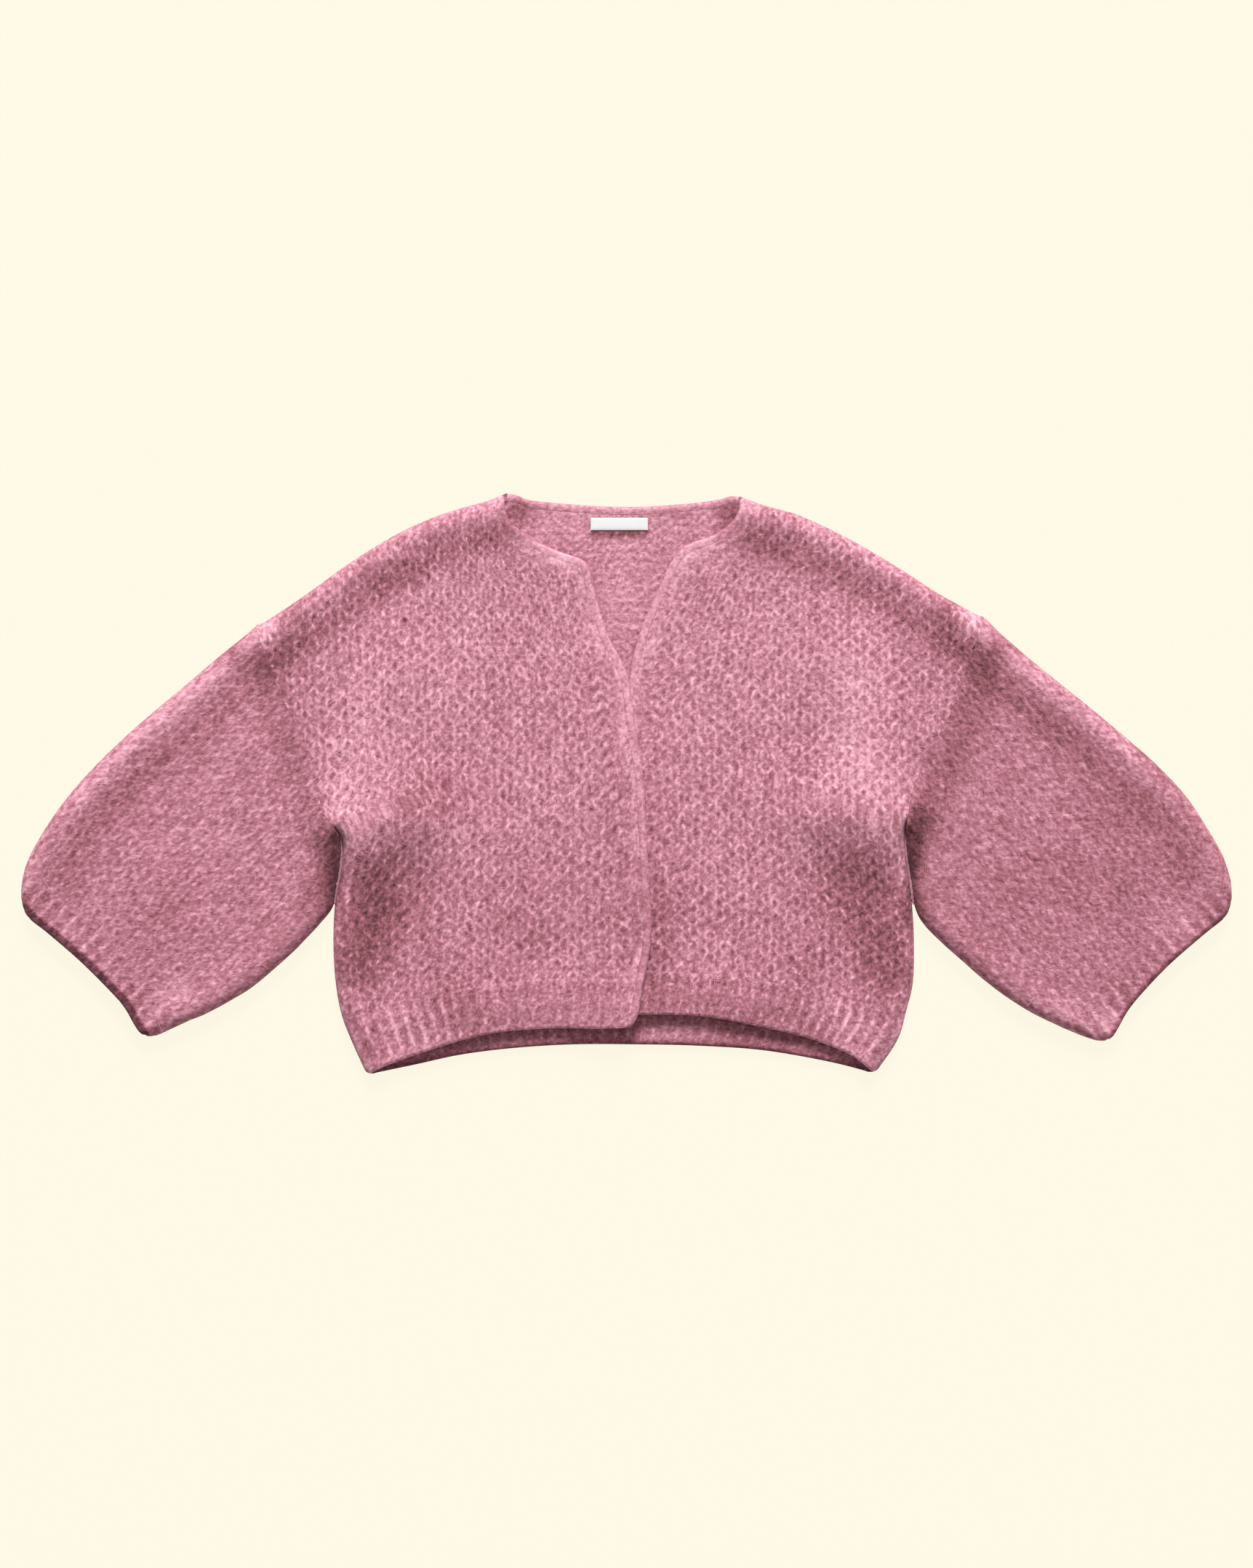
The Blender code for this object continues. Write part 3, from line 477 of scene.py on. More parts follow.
def slanted(u, v):
    """The same on the arms, pulled lengthwise, with one side's legs painted lighter than the
    other's, as a painted highlight.
    """
    h = holes(u, v + 0.5, ARM_WALE, ARM_COURSE, 1.9, 4.4, 50)
    h = h + 0.55 * holes(u + 0.5, v - 0.04, ARM_WALE, ARM_COURSE, 1.9, 3.6, 60)
    d = legs(u, v, ARM_WALE, ARM_COURSE, 0.22, 3.8, 1.15, (1.10, 0.70))
    return 0.47 - 0.34 * h + 0.40 * d * (1.0 - 0.25 * h)


def purl(u, v):
    """The rough side: wavy bars that run across."""
    phase = v + 0.20 * np.cos(2.0 * np.pi * u)
    strand = 0.5 + 0.5 * np.cos(2.0 * np.pi * phase)
    bar = 0.80 + 0.30 * of_cell(np.floor(2.0 * u), np.round(phase), 2)
    return strand * bar


def ribbing(u, v, strength=1.0):
    """A thin bright knit column and a wide purl one by turns; u counts pairs."""
    off = np.abs((u + 0.5) % 1.0 - 0.5) * 2.0
    crest = np.exp(-(off / 0.36) ** 2)
    furrow = np.exp(-((off - 1.0) / 0.34) ** 2)
    link = 0.80 + 0.34 * of_cell(np.round(u), np.round(v), 3)
    leg = 0.5 + 0.5 * np.cos(2.0 * np.pi * (v + 0.9 * off))
    dot = 0.5 + 0.5 * np.cos(2.0 * np.pi * (v + 0.5))
    lifted = crest * link * (0.26 + 0.16 * leg) + furrow * (0.16 * dot - 0.10) - 0.08
    return 0.46 + strength * lifted


def fuzz(points, layer, amount=1.0):
    """The brushed nap on the body: soft flecks, a little taller than wide."""
    x, y = points[..., 0], points[..., 1]
    broad = 0.06 * field(x * 1.2, y * 0.9, 3.0, layer + 1)
    return amount * (broad + 0.34 * field(x * 1.15, y * 0.95, 1.9, layer + 2))


def arm_fuzz(points, hand):
    """The same on an arm, drawn out along it."""
    angle = np.radians(NAP_ANGLE)
    c, w = np.cos(angle), np.sin(angle)
    x, y = hand * points[..., 0], points[..., 1]
    along, across = x * c + y * w, y * c - x * w
    return 0.34 * field(along * 0.75, across * 1.3, 2.0, 30)


# Painted shadows and highlights in the nap's colour, where the cloth rolls, dips and is tucked in,
# and one real dark fleck in the wool: start x, start y, end x, end y, width, and how much lighter
# or darker.

SHADES = (
    (-231, 75, -236, -32, 26, 0.10),
    (-262, 30, -240, -38, 16, 0.10),
    (204, 84, 198, 15, 24, 0.16),
    (222, 20, 226, -30, 20, 0.10),
    (-226, -82, -238, -160, 27, -0.36),
    (-212, -108, -206, -116, 16, -0.08),
    (-190, -62, -176, -100, 24, -0.14),
    (212, -80, 232, -165, 29, -0.33),
    (190, -70, 176, -100, 24, -0.12),
    (196, -120, 152, -182, 18, -0.08),
    (-186, -12, -168, -8, 18, -0.14),
    (-268, -50, -262, -85, 12, -0.25),
    (262, -35, 258, -75, 12, -0.25),
    (-276, -90, -284, -108, 12, -0.12),
    (254, -105, 256, -125, 10, -0.15),
    (-318, 96, -286, -30, 15, -0.10),
    (322, 96, 268, -30, 17, -0.20),
    (-402, -112, -404, -128, 34, -0.08),
    (362, -110, 430, -90, 42, -0.08),
    (428, -22, 440, -30, 20, -0.10),
    (-215, 176, -190, 188, 15, -0.12),
    (-112, 226, -104, 234, 16, -0.12),
    (118, 220, 132, 210, 18, -0.16),
    (-57, 203, -52, 200, 14, 0.12),
    (42, 196, 48, 204, 12, 0.08),
    (118, -80, 116, -92, 24, 0.07),
    (70, -152, 66, -158, 22, 0.09),
    (-156, -108, -152, -116, 22, 0.06),
    (-90, -128, -86, -140, 18, -0.09),
    (30, -92, 30, -120, 13, -0.13),
    (-158, -188, -120, -222, 22, -0.12),
    (48, -196, 178, -222, 20, -0.10),
    (26, -150, 24, -196, 12, -0.16),
    (-120, -215, 160, -215, 60, -0.05),
    (186, -200, 200, -212, 16, 0.10),
    (-208, -205, -214, -216, 14, 0.08),
    (-400, -184, -408, -196, 16, 0.14),
    (376, -200, 420, -214, 16, 0.12),
    (-516, -96, -522, -106, 16, 0.10),
    (515, -96, 482, -128, 16, 0.14),
    (440, -212, 432, -224, 12, 0.16),
    (-285, 150, -345, 100, 16, 0.07),
    (275, 150, 338, 104, 17, 0.03),
    (-372, 66, -400, 44, 14, 0.05),
    (462, 30, 535, -84, 10, -0.20),
    (-498, -18, -526, -78, 9, -0.12),
    (-150, 120, 150, 120, 90, 0.04),
    (-150, -130, 150, -130, 55, -0.035),
    (-85, 228, -50, 208, 12, 0.08),
    (98, 228, 60, 205, 12, 0.08),
    (4, -40, 4, -110, 30, -0.07),
    (-221, -112, -221, -126, 22, -0.11),
    (-158, -8, -154, -12, 20, -0.05),
    (-224, -52, -224, -58, 13, 0.06),
    (210, -62, 210, -68, 16, 0.08),
    (251, -100, 252, -116, 10, -0.14),
    (-238, -28, -232, -44, 16, -0.06),
    (-222, -214, -227, -236, 10, -0.14),
    (193, -222, 195, -232, 10, 0.09),
    (-310, -110, -310, -116, 12, 0.07),
    (-122, 140, -160, 90, 20, 0.03),
    # a real dark fleck in the wool, not shade
    (-198.6, 146.9, -198.2, 146.6, 2.2, -0.50),
)
# Painted shade for the sleeves alone, in the hollow beside each underarm.
ARM_SHADES = (
    (-257, -42, -256, -110, 8, -0.28),
    (-266, -48, -264, -104, 13, -0.14),
    (262, -20, 252, -72, 8, -0.28),
    (252, -72, 252, -118, 8, -0.20),
)
# Painted light for the fronts, whose sides stand out lightly against that hollow.
SIDE_SHADES = (
    (-249, -46, -250, -105, 5, 0.18),
    (246, -15, 246, -80, 5, 0.20),
)
# Outlines along which the painted highlight and shade bands run.
CREST = both("shoulder")
ARM_CREST = both("sleeve_top")
FOOT = both("sleeve_under", "cuff_under")
HEMS = both("hem")
MOUTHS = both("cuff_edge")
# Painted shade and light on the inside of the back: x, y, width, height, and how much lighter or
# darker.
INSIDE_SPOTS = (
    (95.0, -230.0, 60.0, 14.0, -0.16),
    (-97.0, 243.0, 13.0, 12.0, -0.40),
    (93.0, 241.0, 13.0, 12.0, -0.34),
    (-108.0, 258.6, 3.2, 3.2, 0.42),
    (101.5, 257.2, 3.2, 3.2, 0.42),
)


def shading(points, strokes=SHADES):
    """How much lighter or darker the nap is painted at each point of the upper layer: painted
    highlights and shade over a little random mottling.
    """
    flat = points[..., :2]
    shade_and_tone = 0.025 * field(flat[..., 0], flat[..., 1], 60.0, 30)
    shade_and_tone = shade_and_tone + 0.015 * field(flat[..., 0], flat[..., 1], 25.0, 31)
    # painted highlight and shade bands along each outline: how far in, width, and how much lighter
    # or darker
    for curve, bands in ((CREST, ((8.0, 8.0, 0.04), (33.0, 13.0, -0.21))),
                         (ARM_CREST, ((10.0, 9.0, 0.20), (36.0, 14.0, -0.17))),
                         (FOOT, ((0.0, 7.0, -0.16),))):
        gap = distance(flat, curve)
        for at, width, amount in bands:
            shade_and_tone = shade_and_tone + amount * np.exp(-((gap - at) / width) ** 2)
    # painted shade just inside each cuff's mouth, deeper on the right cuff
    mouth = distance(flat, MOUTHS)
    rim = np.where(flat[..., 0] < 0.0, 0.60 * soft((9.0 - mouth) / 3.5),
                   0.42 * soft((5.5 - mouth) / 3.0))
    return stroked(shade_and_tone - rim, flat, strokes)


def inside_shading(points):
    """Painted shade and light on the inside of the back, over a little random mottling."""
    x, y = points[..., 0], points[..., 1]
    shade_and_tone = 0.03 * field(x, y, 60.0, 30) + 0.03 * field(x, y, 25.0, 31)
    # painted shadow below the front hems, and painted shade along the back hem's own edge
    shade_and_tone = shade_and_tone - 0.31 * np.exp(-(distance(points[..., :2], HEMS) / 12.0) ** 2)
    shade_and_tone = shade_and_tone - 0.65 * np.exp(-(distance(points[..., :2], dense(BACK_HEM)) / 3.8) ** 2)
    for at_x, at_y, wide, tall, amount in INSIDE_SPOTS:
        shade_and_tone = shade_and_tone + amount * np.exp(-((x - at_x) / wide) ** 2 - ((y - at_y) / tall) ** 2)
    # painted shadow below the label
    beside = np.maximum(np.maximum(LABEL["left"] + 2.0 - x, x - LABEL["right"] + 2.0), 0.0)
    return shade_and_tone - 0.42 * np.exp(-((y - LABEL["low"] + 3.0) / 4.5) ** 2 - (beside / 3.0) ** 2)


# Meshes

def facing(outer, inner, ring):
    """Unit normals of the outer face, away from the inner one."""
    if ring:
        wide = np.concatenate([outer[:, -1:], outer, outer[:, :1]], axis=1)
        across = np.gradient(wide, axis=1)[:, 1:-1]
    else:
        across = np.gradient(outer, axis=1)
    n = np.cross(np.gradient(outer, axis=0), across)
    n /= np.maximum(np.linalg.norm(n, axis=2), 1e-9)[..., None]
    middle = (outer.shape[0] // 2, outer.shape[1] // 4)
    return -n if n[middle] @ (outer[middle] - inner[middle]) < 0.0 else n


def spaced(count, every, ring):
    """Indices every so many, with the last one, for the coarser inner face."""
    if ring:
        return list(range(0, count, every))
    at = list(range(0, count - 1, every))
    if len(at) > 1 and count - 1 - at[-1] < every / 2:
        at.pop()
    return at + [count - 1]


def zip_rim(fine, coarse, at):
    """Faces between a fine chain and a coarse one; at is each coarse point's place."""
    faces = []
    for k in range(len(at) - 1):
        a, b = at[k], at[k + 1]
        middle = (a + b) // 2
        faces += [(fine[i + 1], fine[i], coarse[k]) for i in range(a, middle)]
        faces.append((fine[middle], coarse[k], coarse[k + 1]))
        faces += [(fine[i + 1], fine[i], coarse[k + 1]) for i in range(middle, b)]
    return faces


def placed(name, data):
    """A new object in the scene."""
    thing = bpy.data.objects.new(name, data)
    bpy.context.scene.collection.objects.link(thing)
    return thing


def made(name, points, faces, layers):
    """An object of points in millimetres, with a value a point in each named layer."""
    mesh = bpy.data.meshes.new(name)
    mesh.from_pydata((points * MM).tolist(), [], faces)
    mesh.update()
    mesh.shade_smooth()
    for label, values in layers.items():
        layer = mesh.attributes.new(label, "FLOAT", "POINT")
        layer.data.foreach_set("value", values.astype(np.float32))
    return placed(name, mesh)


PIECES = {}


def wall(name, outer, inner, yarn, shade_and_tone=None, ring=False, every=5, inner_yarn=None):
    """A closed wall with a fine outer skin and a coarser inner one, kept in PIECES."""
    rows, columns = outer.shape[:2]
    ri = spaced(rows, every, False)
    ci = spaced(columns, every, ring)
    points = np.vstack([outer.reshape(-1, 3), inner[np.ix_(ri, ci)].reshape(-1, 3)])
    base, ic = rows * columns, len(ci)
    far, far_in = (columns, ic) if ring else (columns - 1, ic - 1)
    i, j = np.meshgrid(np.arange(rows - 1), np.arange(far), indexing="ij")
    k = (j + 1) % columns
    quads = np.stack([i * columns + j, i * columns + k,
                      (i + 1) * columns + k, (i + 1) * columns + j], axis=-1).reshape(-1, 4)
    i, j = np.meshgrid(np.arange(len(ri) - 1), np.arange(far_in), indexing="ij")
    k = (j + 1) % ic
    inner_quads = base + np.stack([i * ic + j, (i + 1) * ic + j,
                                   (i + 1) * ic + k, i * ic + k], axis=-1).reshape(-1, 4)
    rims = []
    for row, inner_row, way in ((0, 0, 1), (rows - 1, len(ri) - 1, -1)):
        fine = [row * columns + c for c in range(columns)]
        coarse = [base + inner_row * ic + c for c in range(ic)]
        at = list(ci)
        if ring:
            fine.append(fine[0])
            coarse.append(coarse[0])
            at.append(columns)
        rims += [f[::way] for f in zip_rim(fine, coarse, at)]
    for column, inner_column, way in () if ring else ((0, 0, -1), (columns - 1, ic - 1, 1)):
        fine = [r * columns + column for r in range(rows)]
        coarse = [base + r * ic + inner_column for r in range(len(ri))]
        rims += [f[::way] for f in zip_rim(fine, coarse, ri)]
    faces = quads.tolist() + inner_quads.tolist() + rims
    r, c = rows // 2, columns // 4
    a, b, d = outer[r, c], outer[r, c + 1], outer[r + 1, c]
    if np.cross(b - a, d - a) @ (a - inner[r, c]) < 0.0:
        faces = [f[::-1] for f in faces]
    shade_and_tone = np.zeros((rows, columns)) if shade_and_tone is None else shade_and_tone
    inner_yarn = np.full((rows, columns), 0.45) if inner_yarn is None else inner_yarn
    layers = {label: np.concatenate([over.ravel(), under[np.ix_(ri, ci)].ravel()])
              for label, over, under in (("yarn", yarn, inner_yarn), ("shade_and_tone", shade_and_tone, shade_and_tone))}
    PIECES[name] = made(name, points, faces, layers)
    PIECES[name].data.set_sharp_from_angle(angle=math.radians(65.0))


def roll(gap, radius=WALL / 2.0):
    """How far a rounded edge has dropped at a distance from it."""
    near = np.clip(radius - gap, 0.0, radius)
    return radius - np.sqrt(np.maximum(radius ** 2 - near ** 2, 0.0))


def rounded(outer, inner, gap):
    """Round a cast-off edge: gap is each row's distance from it."""
    drop = roll(gap)[:, None]
    thick = np.clip((outer[..., 2] - inner[..., 2]) / WALL, -1.0, 1.0)
    outer[..., 2] -= drop * thick * 0.98
    inner[..., 2] += drop * thick * 0.98


def blunted(points, corner, toward, away, radius, strict=False):
    """Round a corner of the plan: its two edges run from it toward two other points. A strict
    corner also takes in what stands out beside the round."""
    corner = np.array(corner, dtype=float)
    a = np.array(toward, dtype=float) - corner
    b = np.array(away, dtype=float) - corner
    a, b = a / np.linalg.norm(a), b / np.linalg.norm(b)
    middle = (a + b) / np.linalg.norm(a + b)
    half = math.acos(float(np.clip(a @ b, -1.0, 1.0))) / 2.0
    centre = corner + middle * radius / math.sin(half)
    sides = []
    for way, other in ((a, b), (b, a)):
        out = way * float(way @ other) - other
        sides.append(out / np.linalg.norm(out))
    flat = points[..., :2] - centre
    far = np.linalg.norm(flat, axis=-1)
    unit = flat / np.maximum(far, 1e-9)[..., None]
    reach = np.maximum(unit @ sides[0], unit @ sides[1])
    spread = unit @ -middle
    inside = (spread > math.cos(math.pi / 2.0 - half)) & (reach > 0.0)
    scale = np.where(inside, reach, 1.0)
    if strict:
        past = np.maximum(np.arccos(np.clip(spread, -1.0, 1.0)) - (math.pi / 2.0 - half), 0.0)
        limit = np.where(past < 1.0, radius * (1.0 + 4.0 * past ** 2), np.inf)
        scale = np.minimum(scale, limit / np.maximum(far, 1e-9))
    points[..., :2] = centre + flat * scale[..., None]


def eased_tip(half, points, amount):
    """Move the outline sideways by the armhole's top, where two pieces meet in one line."""
    tip = np.array(half.table["shoulder"][-1], dtype=float)
    way = np.array(half.up_at_tip(), dtype=float)
    gap = np.linalg.norm(points[..., :2] - tip, axis=-1)
    share = np.exp(-(gap / 9.0) ** 2)[..., None]
    points[..., :2] += share * amount * way / np.linalg.norm(way)


def raised(outer, inner, amount, ring=False):
    """Push the outer skin out by an amount a point."""
    return outer + facing(outer, inner, ring) * amount[..., None]


# Where the stitches run

def front_edge_x(half, y):
    return x_at(half.edge, np.clip(y, -150.0, 190.0))


def side_x(half, y):
    return x_at(half.flank, np.clip(y, -262.0, -60.0))


def body_knit(half, points):
    """Wales and courses of a front at plan points."""
    x, y = points[..., 0], points[..., 1]
    hand = half.hand
    from_front = (front_edge_x(half, y) - x) * hand
    front_shift = front_edge_x(half, y) - front_edge_x(half, np.array(-100.0))
    front_shift = np.where(y > 60.0, front_shift, 0.0) * soft((y - 60.0) / 60.0)
    side_shift = side_x(half, y) - side_x(half, np.array(-60.0))
    inward = (x - side_x(half, y)) * hand
    moved = x - front_shift * soft(1.0 - from_front / 150.0)
    moved = moved - side_shift * soft(1.0 - inward / 150.0)
    seam = half.seam[np.argsort(half.seam[:, 0])]
    drop = np.interp(x, seam[:, 0], seam[:, 1]) + 172.0
    keep = 0.25 + 0.75 * soft(1.0 - (y + 190.0) / 300.0)
    u = moved / WALE
    v = (y - drop * keep) / COURSE
    u = u + 0.20 * field(x, y, 60.0, 1) + 0.10 * field(x, y, 16.0, 2)
    v = v + 0.24 * field(x, y, 70.0, 3) + 0.10 * field(x, y, 18.0, 4)
    return u, v


def arm_knit(half, points):
    """Wales and courses of a sleeve: the wales run down the arm."""
    x, y = half.hand * points[..., 0], points[..., 1]
    angle = np.radians(ARM_ANGLE)
    v = (x * np.cos(angle) + y * np.sin(angle)) / ARM_COURSE
    u = (x * np.sin(angle) - y * np.cos(angle)) / ARM_WALE
    x = points[..., 0]
    u = u + 0.28 * field(x, y, 70.0, 5) + 0.12 * field(x, y, 16.0, 6)
    v = v + 0.28 * field(x, y, 70.0, 7) + 0.12 * field(x, y, 18.0, 8)
    return u, v


# Pieces

# Where the points lie across a rolled edging, from its free edge, and their spacing along it.
ROLL_AT = np.array((0.0, 0.12, 0.45, 0.95, 1.6, 2.4, 3.3, 4.3, 5.3, 6.2, BAND))
BAND_STEP = 1.35
EDGE_REACH = 24.0   # how far in the edging's nap runs beside a front's edge
EDGE_FADE = 14.0
FRONT_COLUMNS = 196
FRONT_SIDE = 132
FRONT_ARM = 176


def front_panel(half, name, top):
    edge, flank, crown = half.edge_in, half.flank_in, half.crown
    seam = half.seam - half.seam_out * SEAM / 2.0
    edge_low, seam_in = crossing(edge, seam)
    edge_high, crown_in = crossing(edge, crown)
    flank_low, seam_end = crossing(flank, seam)
    stations = half.flank_stations(flank_low, FRONT_SIDE, FRONT_ARM)
    east = pick(flank, stations)
    west = straight(edge, len(stations), edge_low, edge_high)
    south = straight(seam, FRONT_COLUMNS, seam_in, seam_end)
    _, crown_end = crossing(flank, crown)
    north = straight(crown, FRONT_COLUMNS, crown_in, crown_end)
    east[-1] = north[-1]
    sheet = Sheet(coons(south, north, west, east))
    out = pick(half.flank_out, stations)
    rise = (stations - half.underarm) / (FOLD / STEP)
    curl = soft(1.0 - rise)
    sheet.add("east", out * (1.0 - (1.0 - curl) * SEAM / 2.0 / FOLD)[:, None], curl)
    up = pick(half.shoulder_out, np.linspace(crown_in, crown_end, FRONT_COLUMNS))
    up = np.vstack([up] + [up[-1:]] * len(CURL))
    lean = pick(edge, edge_high + 4.0) - pick(edge, edge_high)
    up = turn_at(up, first=lean, blend=24)
    up[-len(CURL) - 1:] = half.up_at_tip()
    sheet.add("north", up, np.ones(len(up)))
    outer, inner = sheet.upper(top)
    for part in (outer, inner):
        eased_tip(half, part, PANEL_TIP)

    x, y = sheet.knit[..., 0], sheet.knit[..., 1]
    u, v = body_knit(half, sheet.knit)
    yarn = stocking(u, v)
    # beside the edging the nap follows it, and next to that runs a column of bars
    gap = distance(sheet.knit, half.edge)
    near = soft((EDGE_REACH - gap) / EDGE_FADE)
    bars = 0.08 + 0.78 * purl(gap / 17.0, v + 0.25 * np.abs((gap - 28.0) / 9.0) ** 2)
    reach = (120.0, -40.0) if half.hand > 0 else (90.0, 20.0)
    ladder = 0.95 * np.exp(-((gap - 29.0) / 8.0) ** 2)
    ladder = ladder * soft((reach[0] - y) / 30.0) * soft((y - reach[1]) / 50.0)
    yarn = mixed(yarn, bars, ladder)
    yarn = mixed(yarn, edge_nap(half, x, y, gap), near)
    amount = RELIEF * (yarn - 0.5) * (1.0 - sheet.bend) ** 1.5 * (1.0 - 0.4 * near)
    yarn = 0.52 + (yarn - 0.52) * (1.0 - 0.6 * soft(sheet.bend / 0.5))
    yarn = yarn + fuzz(sheet.knit, 20) * (1.0 - 0.3 * near)
    outer = raised(outer, inner, amount)
    wall(name, outer, inner, yarn, shading(outer, SHADES + SIDE_SHADES), every=6)


def edge_nap(half, x, y, gap):
    """Soft flecks drawn out along a front's edge, lighter towards it."""
    along = y - 0.6 * half.hand * x
    flecks = 0.24 * field(gap * 2.8, along, 8.0, 9) + 0.24 * field(gap * 1.6, along, 3.6, 10)
    return 0.55 + 0.13 * soft((15.0 - gap) / 9.0) + flecks


def free_rows(depth, cell):
    """Distances from a cast-off edge: close together in its rounding, then even."""
    start = np.array((0.0, 0.12, 0.45, 1.0, 1.7, 2.5, 3.4))
    count = max(2, int(round((depth - 3.4) / cell)))
    return np.concatenate([start, np.linspace(3.4, depth, count + 1)[1:]])


def low_corners(half, part):
    """Round a front's two lowest corners in plan."""
    hem, side = half.table["hem"], half.table["side"]
    at_edge, at_hem = crossing(half.edge, half.hem)
    blunted(part, pick(half.edge, at_edge), pick(half.edge, at_edge + 12.0),
            pick(half.hem, at_hem + 12.0), 8.0)
    blunted(part, hem[-1], hem[-2], side[-2], 5.0)


def front_hem(half, name, top, ribs):
    edge, flank = half.edge_in, half.flank_in
    seam = half.seam + half.seam_out * SEAM / 2.0
    edge_low, hem_in = crossing(edge, half.hem)
    edge_high, seam_in = crossing(edge, seam)
    flank_low, hem_end = crossing(flank, half.hem)
    flank_high, seam_end = crossing(flank, seam)
    columns = 10 * ribs + 1
    gaps = free_rows(HEM_DEPTH, 1.25)
    share = gaps / HEM_DEPTH
    edge_at = edge_low + (edge_high - edge_low) * share
    flank_at = flank_low + (flank_high - flank_low) * share
    sheet = Sheet(coons(straight(half.hem, columns, hem_in, hem_end),
                        straight(seam, columns, seam_in, seam_end),
                        pick(edge, edge_at), pick(flank, flank_at), share))
    out = pick(half.flank_out, flank_at)
    way = pick(half.hem, hem_end + 4.0) - pick(half.hem, hem_end)
    sheet.add("east", turn_at(out, first=way, blend=16), np.ones(len(gaps)))
    outer, inner = sheet.upper(top)
    count = sheet.outer.shape[1]
    u = np.arange(count)[None, :] / 10.0 + 0.5 + np.zeros((len(gaps), 1))
    v = gaps[:, None] / COURSE + np.zeros((1, count))
    x, y = sheet.knit[..., 0], sheet.knit[..., 1]
    u = u + 0.10 * field(x, y, 26.0, 12)
    v = v + 0.25 * field(x, y, 22.0, 13)
    outward = soft((np.abs(x) - 100.0) / 70.0)
    yarn = ribbing(u, v, 0.80 + 1.0 * outward)
    body = stocking(*body_knit(half, sheet.knit))
    body_share = soft((gaps[:, None] - 46.0 + 6.0 * outward) / (4.0 + 5.0 * outward))
    yarn = mixed(yarn, body, body_share)
    # The first row of the rib opens into a line of small gaps below a light line.
    gappy = (1.0 - outward) * np.exp(-((gaps - 40.0) / 4.4) ** 2)[:, None]
    yarn = yarn - gappy * (0.12 + 0.22 * np.cos(4.0 * np.pi * u))
    yarn = yarn + 0.13 * (1.0 - outward) * np.exp(-((gaps - 47.0) / 2.4) ** 2)[:, None]
    cast = soft((9.0 - gaps) / 7.0)[:, None]
    yarn = yarn * (1.0 - 0.8 * cast) + 0.8 * 0.60 * cast
    gap = distance(sheet.knit, half.edge)
    yarn = mixed(yarn, edge_nap(half, x, y, gap), soft((EDGE_REACH - gap) / EDGE_FADE))
    rounded(outer, inner, gaps)
    for part in (outer, inner):
        low_corners(half, part)
    amount = RELIEF * (yarn - 0.5) * (1.0 - sheet.bend) ** 1.5 * soft(gaps / 4.0)[:, None]
    yarn = 0.50 + (yarn - 0.50) * (1.0 - 0.5 * soft(sheet.bend / 0.5)) + fuzz(sheet.knit, 20)
    outer = raised(outer, inner, amount)
    wall(name, outer, inner, yarn, shading(outer), every=5)


def front_band(half, name, top):
    side = half.edge - half.edge_out * BAND
    low = crossing(side, half.hem)[0]
    high, crown_in = crossing(side, half.crown)
    free_low = crossing(half.edge, half.hem)[0]
    free_high, crown_out = crossing(half.edge, half.crown)
    count = int(length(half.edge) / BAND_STEP)
    lead = np.array((0.0, 0.15, 0.5, 1.1, 2.0, 3.2)) / STEP
    spots = np.concatenate([low + lead, np.linspace(low + 3.0, high, count)])
    free = np.concatenate([free_low + lead, np.linspace(free_low + 3.0, free_high, count)])
    east = pick(side, spots)
    west = pick(half.edge, free)
    across = ROLL_AT / BAND
    grid = mixed(west[:, None], east[:, None], across[None, :, None])
    sheet = Sheet(grid)
    out = pick(half.shoulder_out, np.linspace(crown_out, crown_in, len(across)))
    lean = pick(side, spots[-1] + 4.0) - pick(side, spots[-1])
    up = np.array([lean / float(lean @ way) for way in out])
    sheet.add("north", up, np.ones(len(across)))
    outer, inner = sheet.upper(top)
    keep = 1.0 - sheet.bend
    from_edge = across * BAND
    outer[..., 2] += keep * 0.25 * np.sin(np.pi * np.clip(from_edge / 7.2, 0.0, 1.0))
    drop = roll(from_edge)
    outer[..., 2] -= keep * drop
    inner[..., 2] += keep * drop
    ends = np.concatenate([lead * STEP, np.full(len(outer) - len(lead), 9.0)])
    rounded(outer, inner, ends)
    peak = half.table["shoulder"]
    for part in (outer, inner):
        low_corners(half, part)
        blunted(part, peak[0], peak[1], half.table["edge"][-2], 3.5)
    run = np.concatenate([[0.0], np.cumsum(np.linalg.norm(np.diff(grid[:, 0], axis=0), axis=1))])
    run = np.concatenate([run, run[-1] + 1.2 * np.arange(1, len(outer) - len(run) + 1)])[:, None]
    flecks = 0.12 * field(from_edge[None] * 2.6, run, 9.0, 16)
    flecks = flecks + 0.16 * field(from_edge[None], run, 3.0, 17)
    # a lighter band along the roll's crest: painted highlight
    yarn = 0.54 + 0.25 * np.exp(-((from_edge - 3.6) / 4.4) ** 2) + flecks
    amount = 0.5 * flecks * soft(from_edge / 2.0)[None]
    outer = raised(outer, inner, amount * (1.0 - sheet.bend))
    wall(name, outer, inner, yarn, shading(outer), every=3)


def neck_stations(count):
    """Points along the back of the neck, with the direction out of the garment."""
    neck = dense(BACK_NECK)
    spots = np.linspace(0.1, len(neck) - 1.3, count)
    return pick(neck, spots), np.tile((0.0, 1.0), (count, 1))


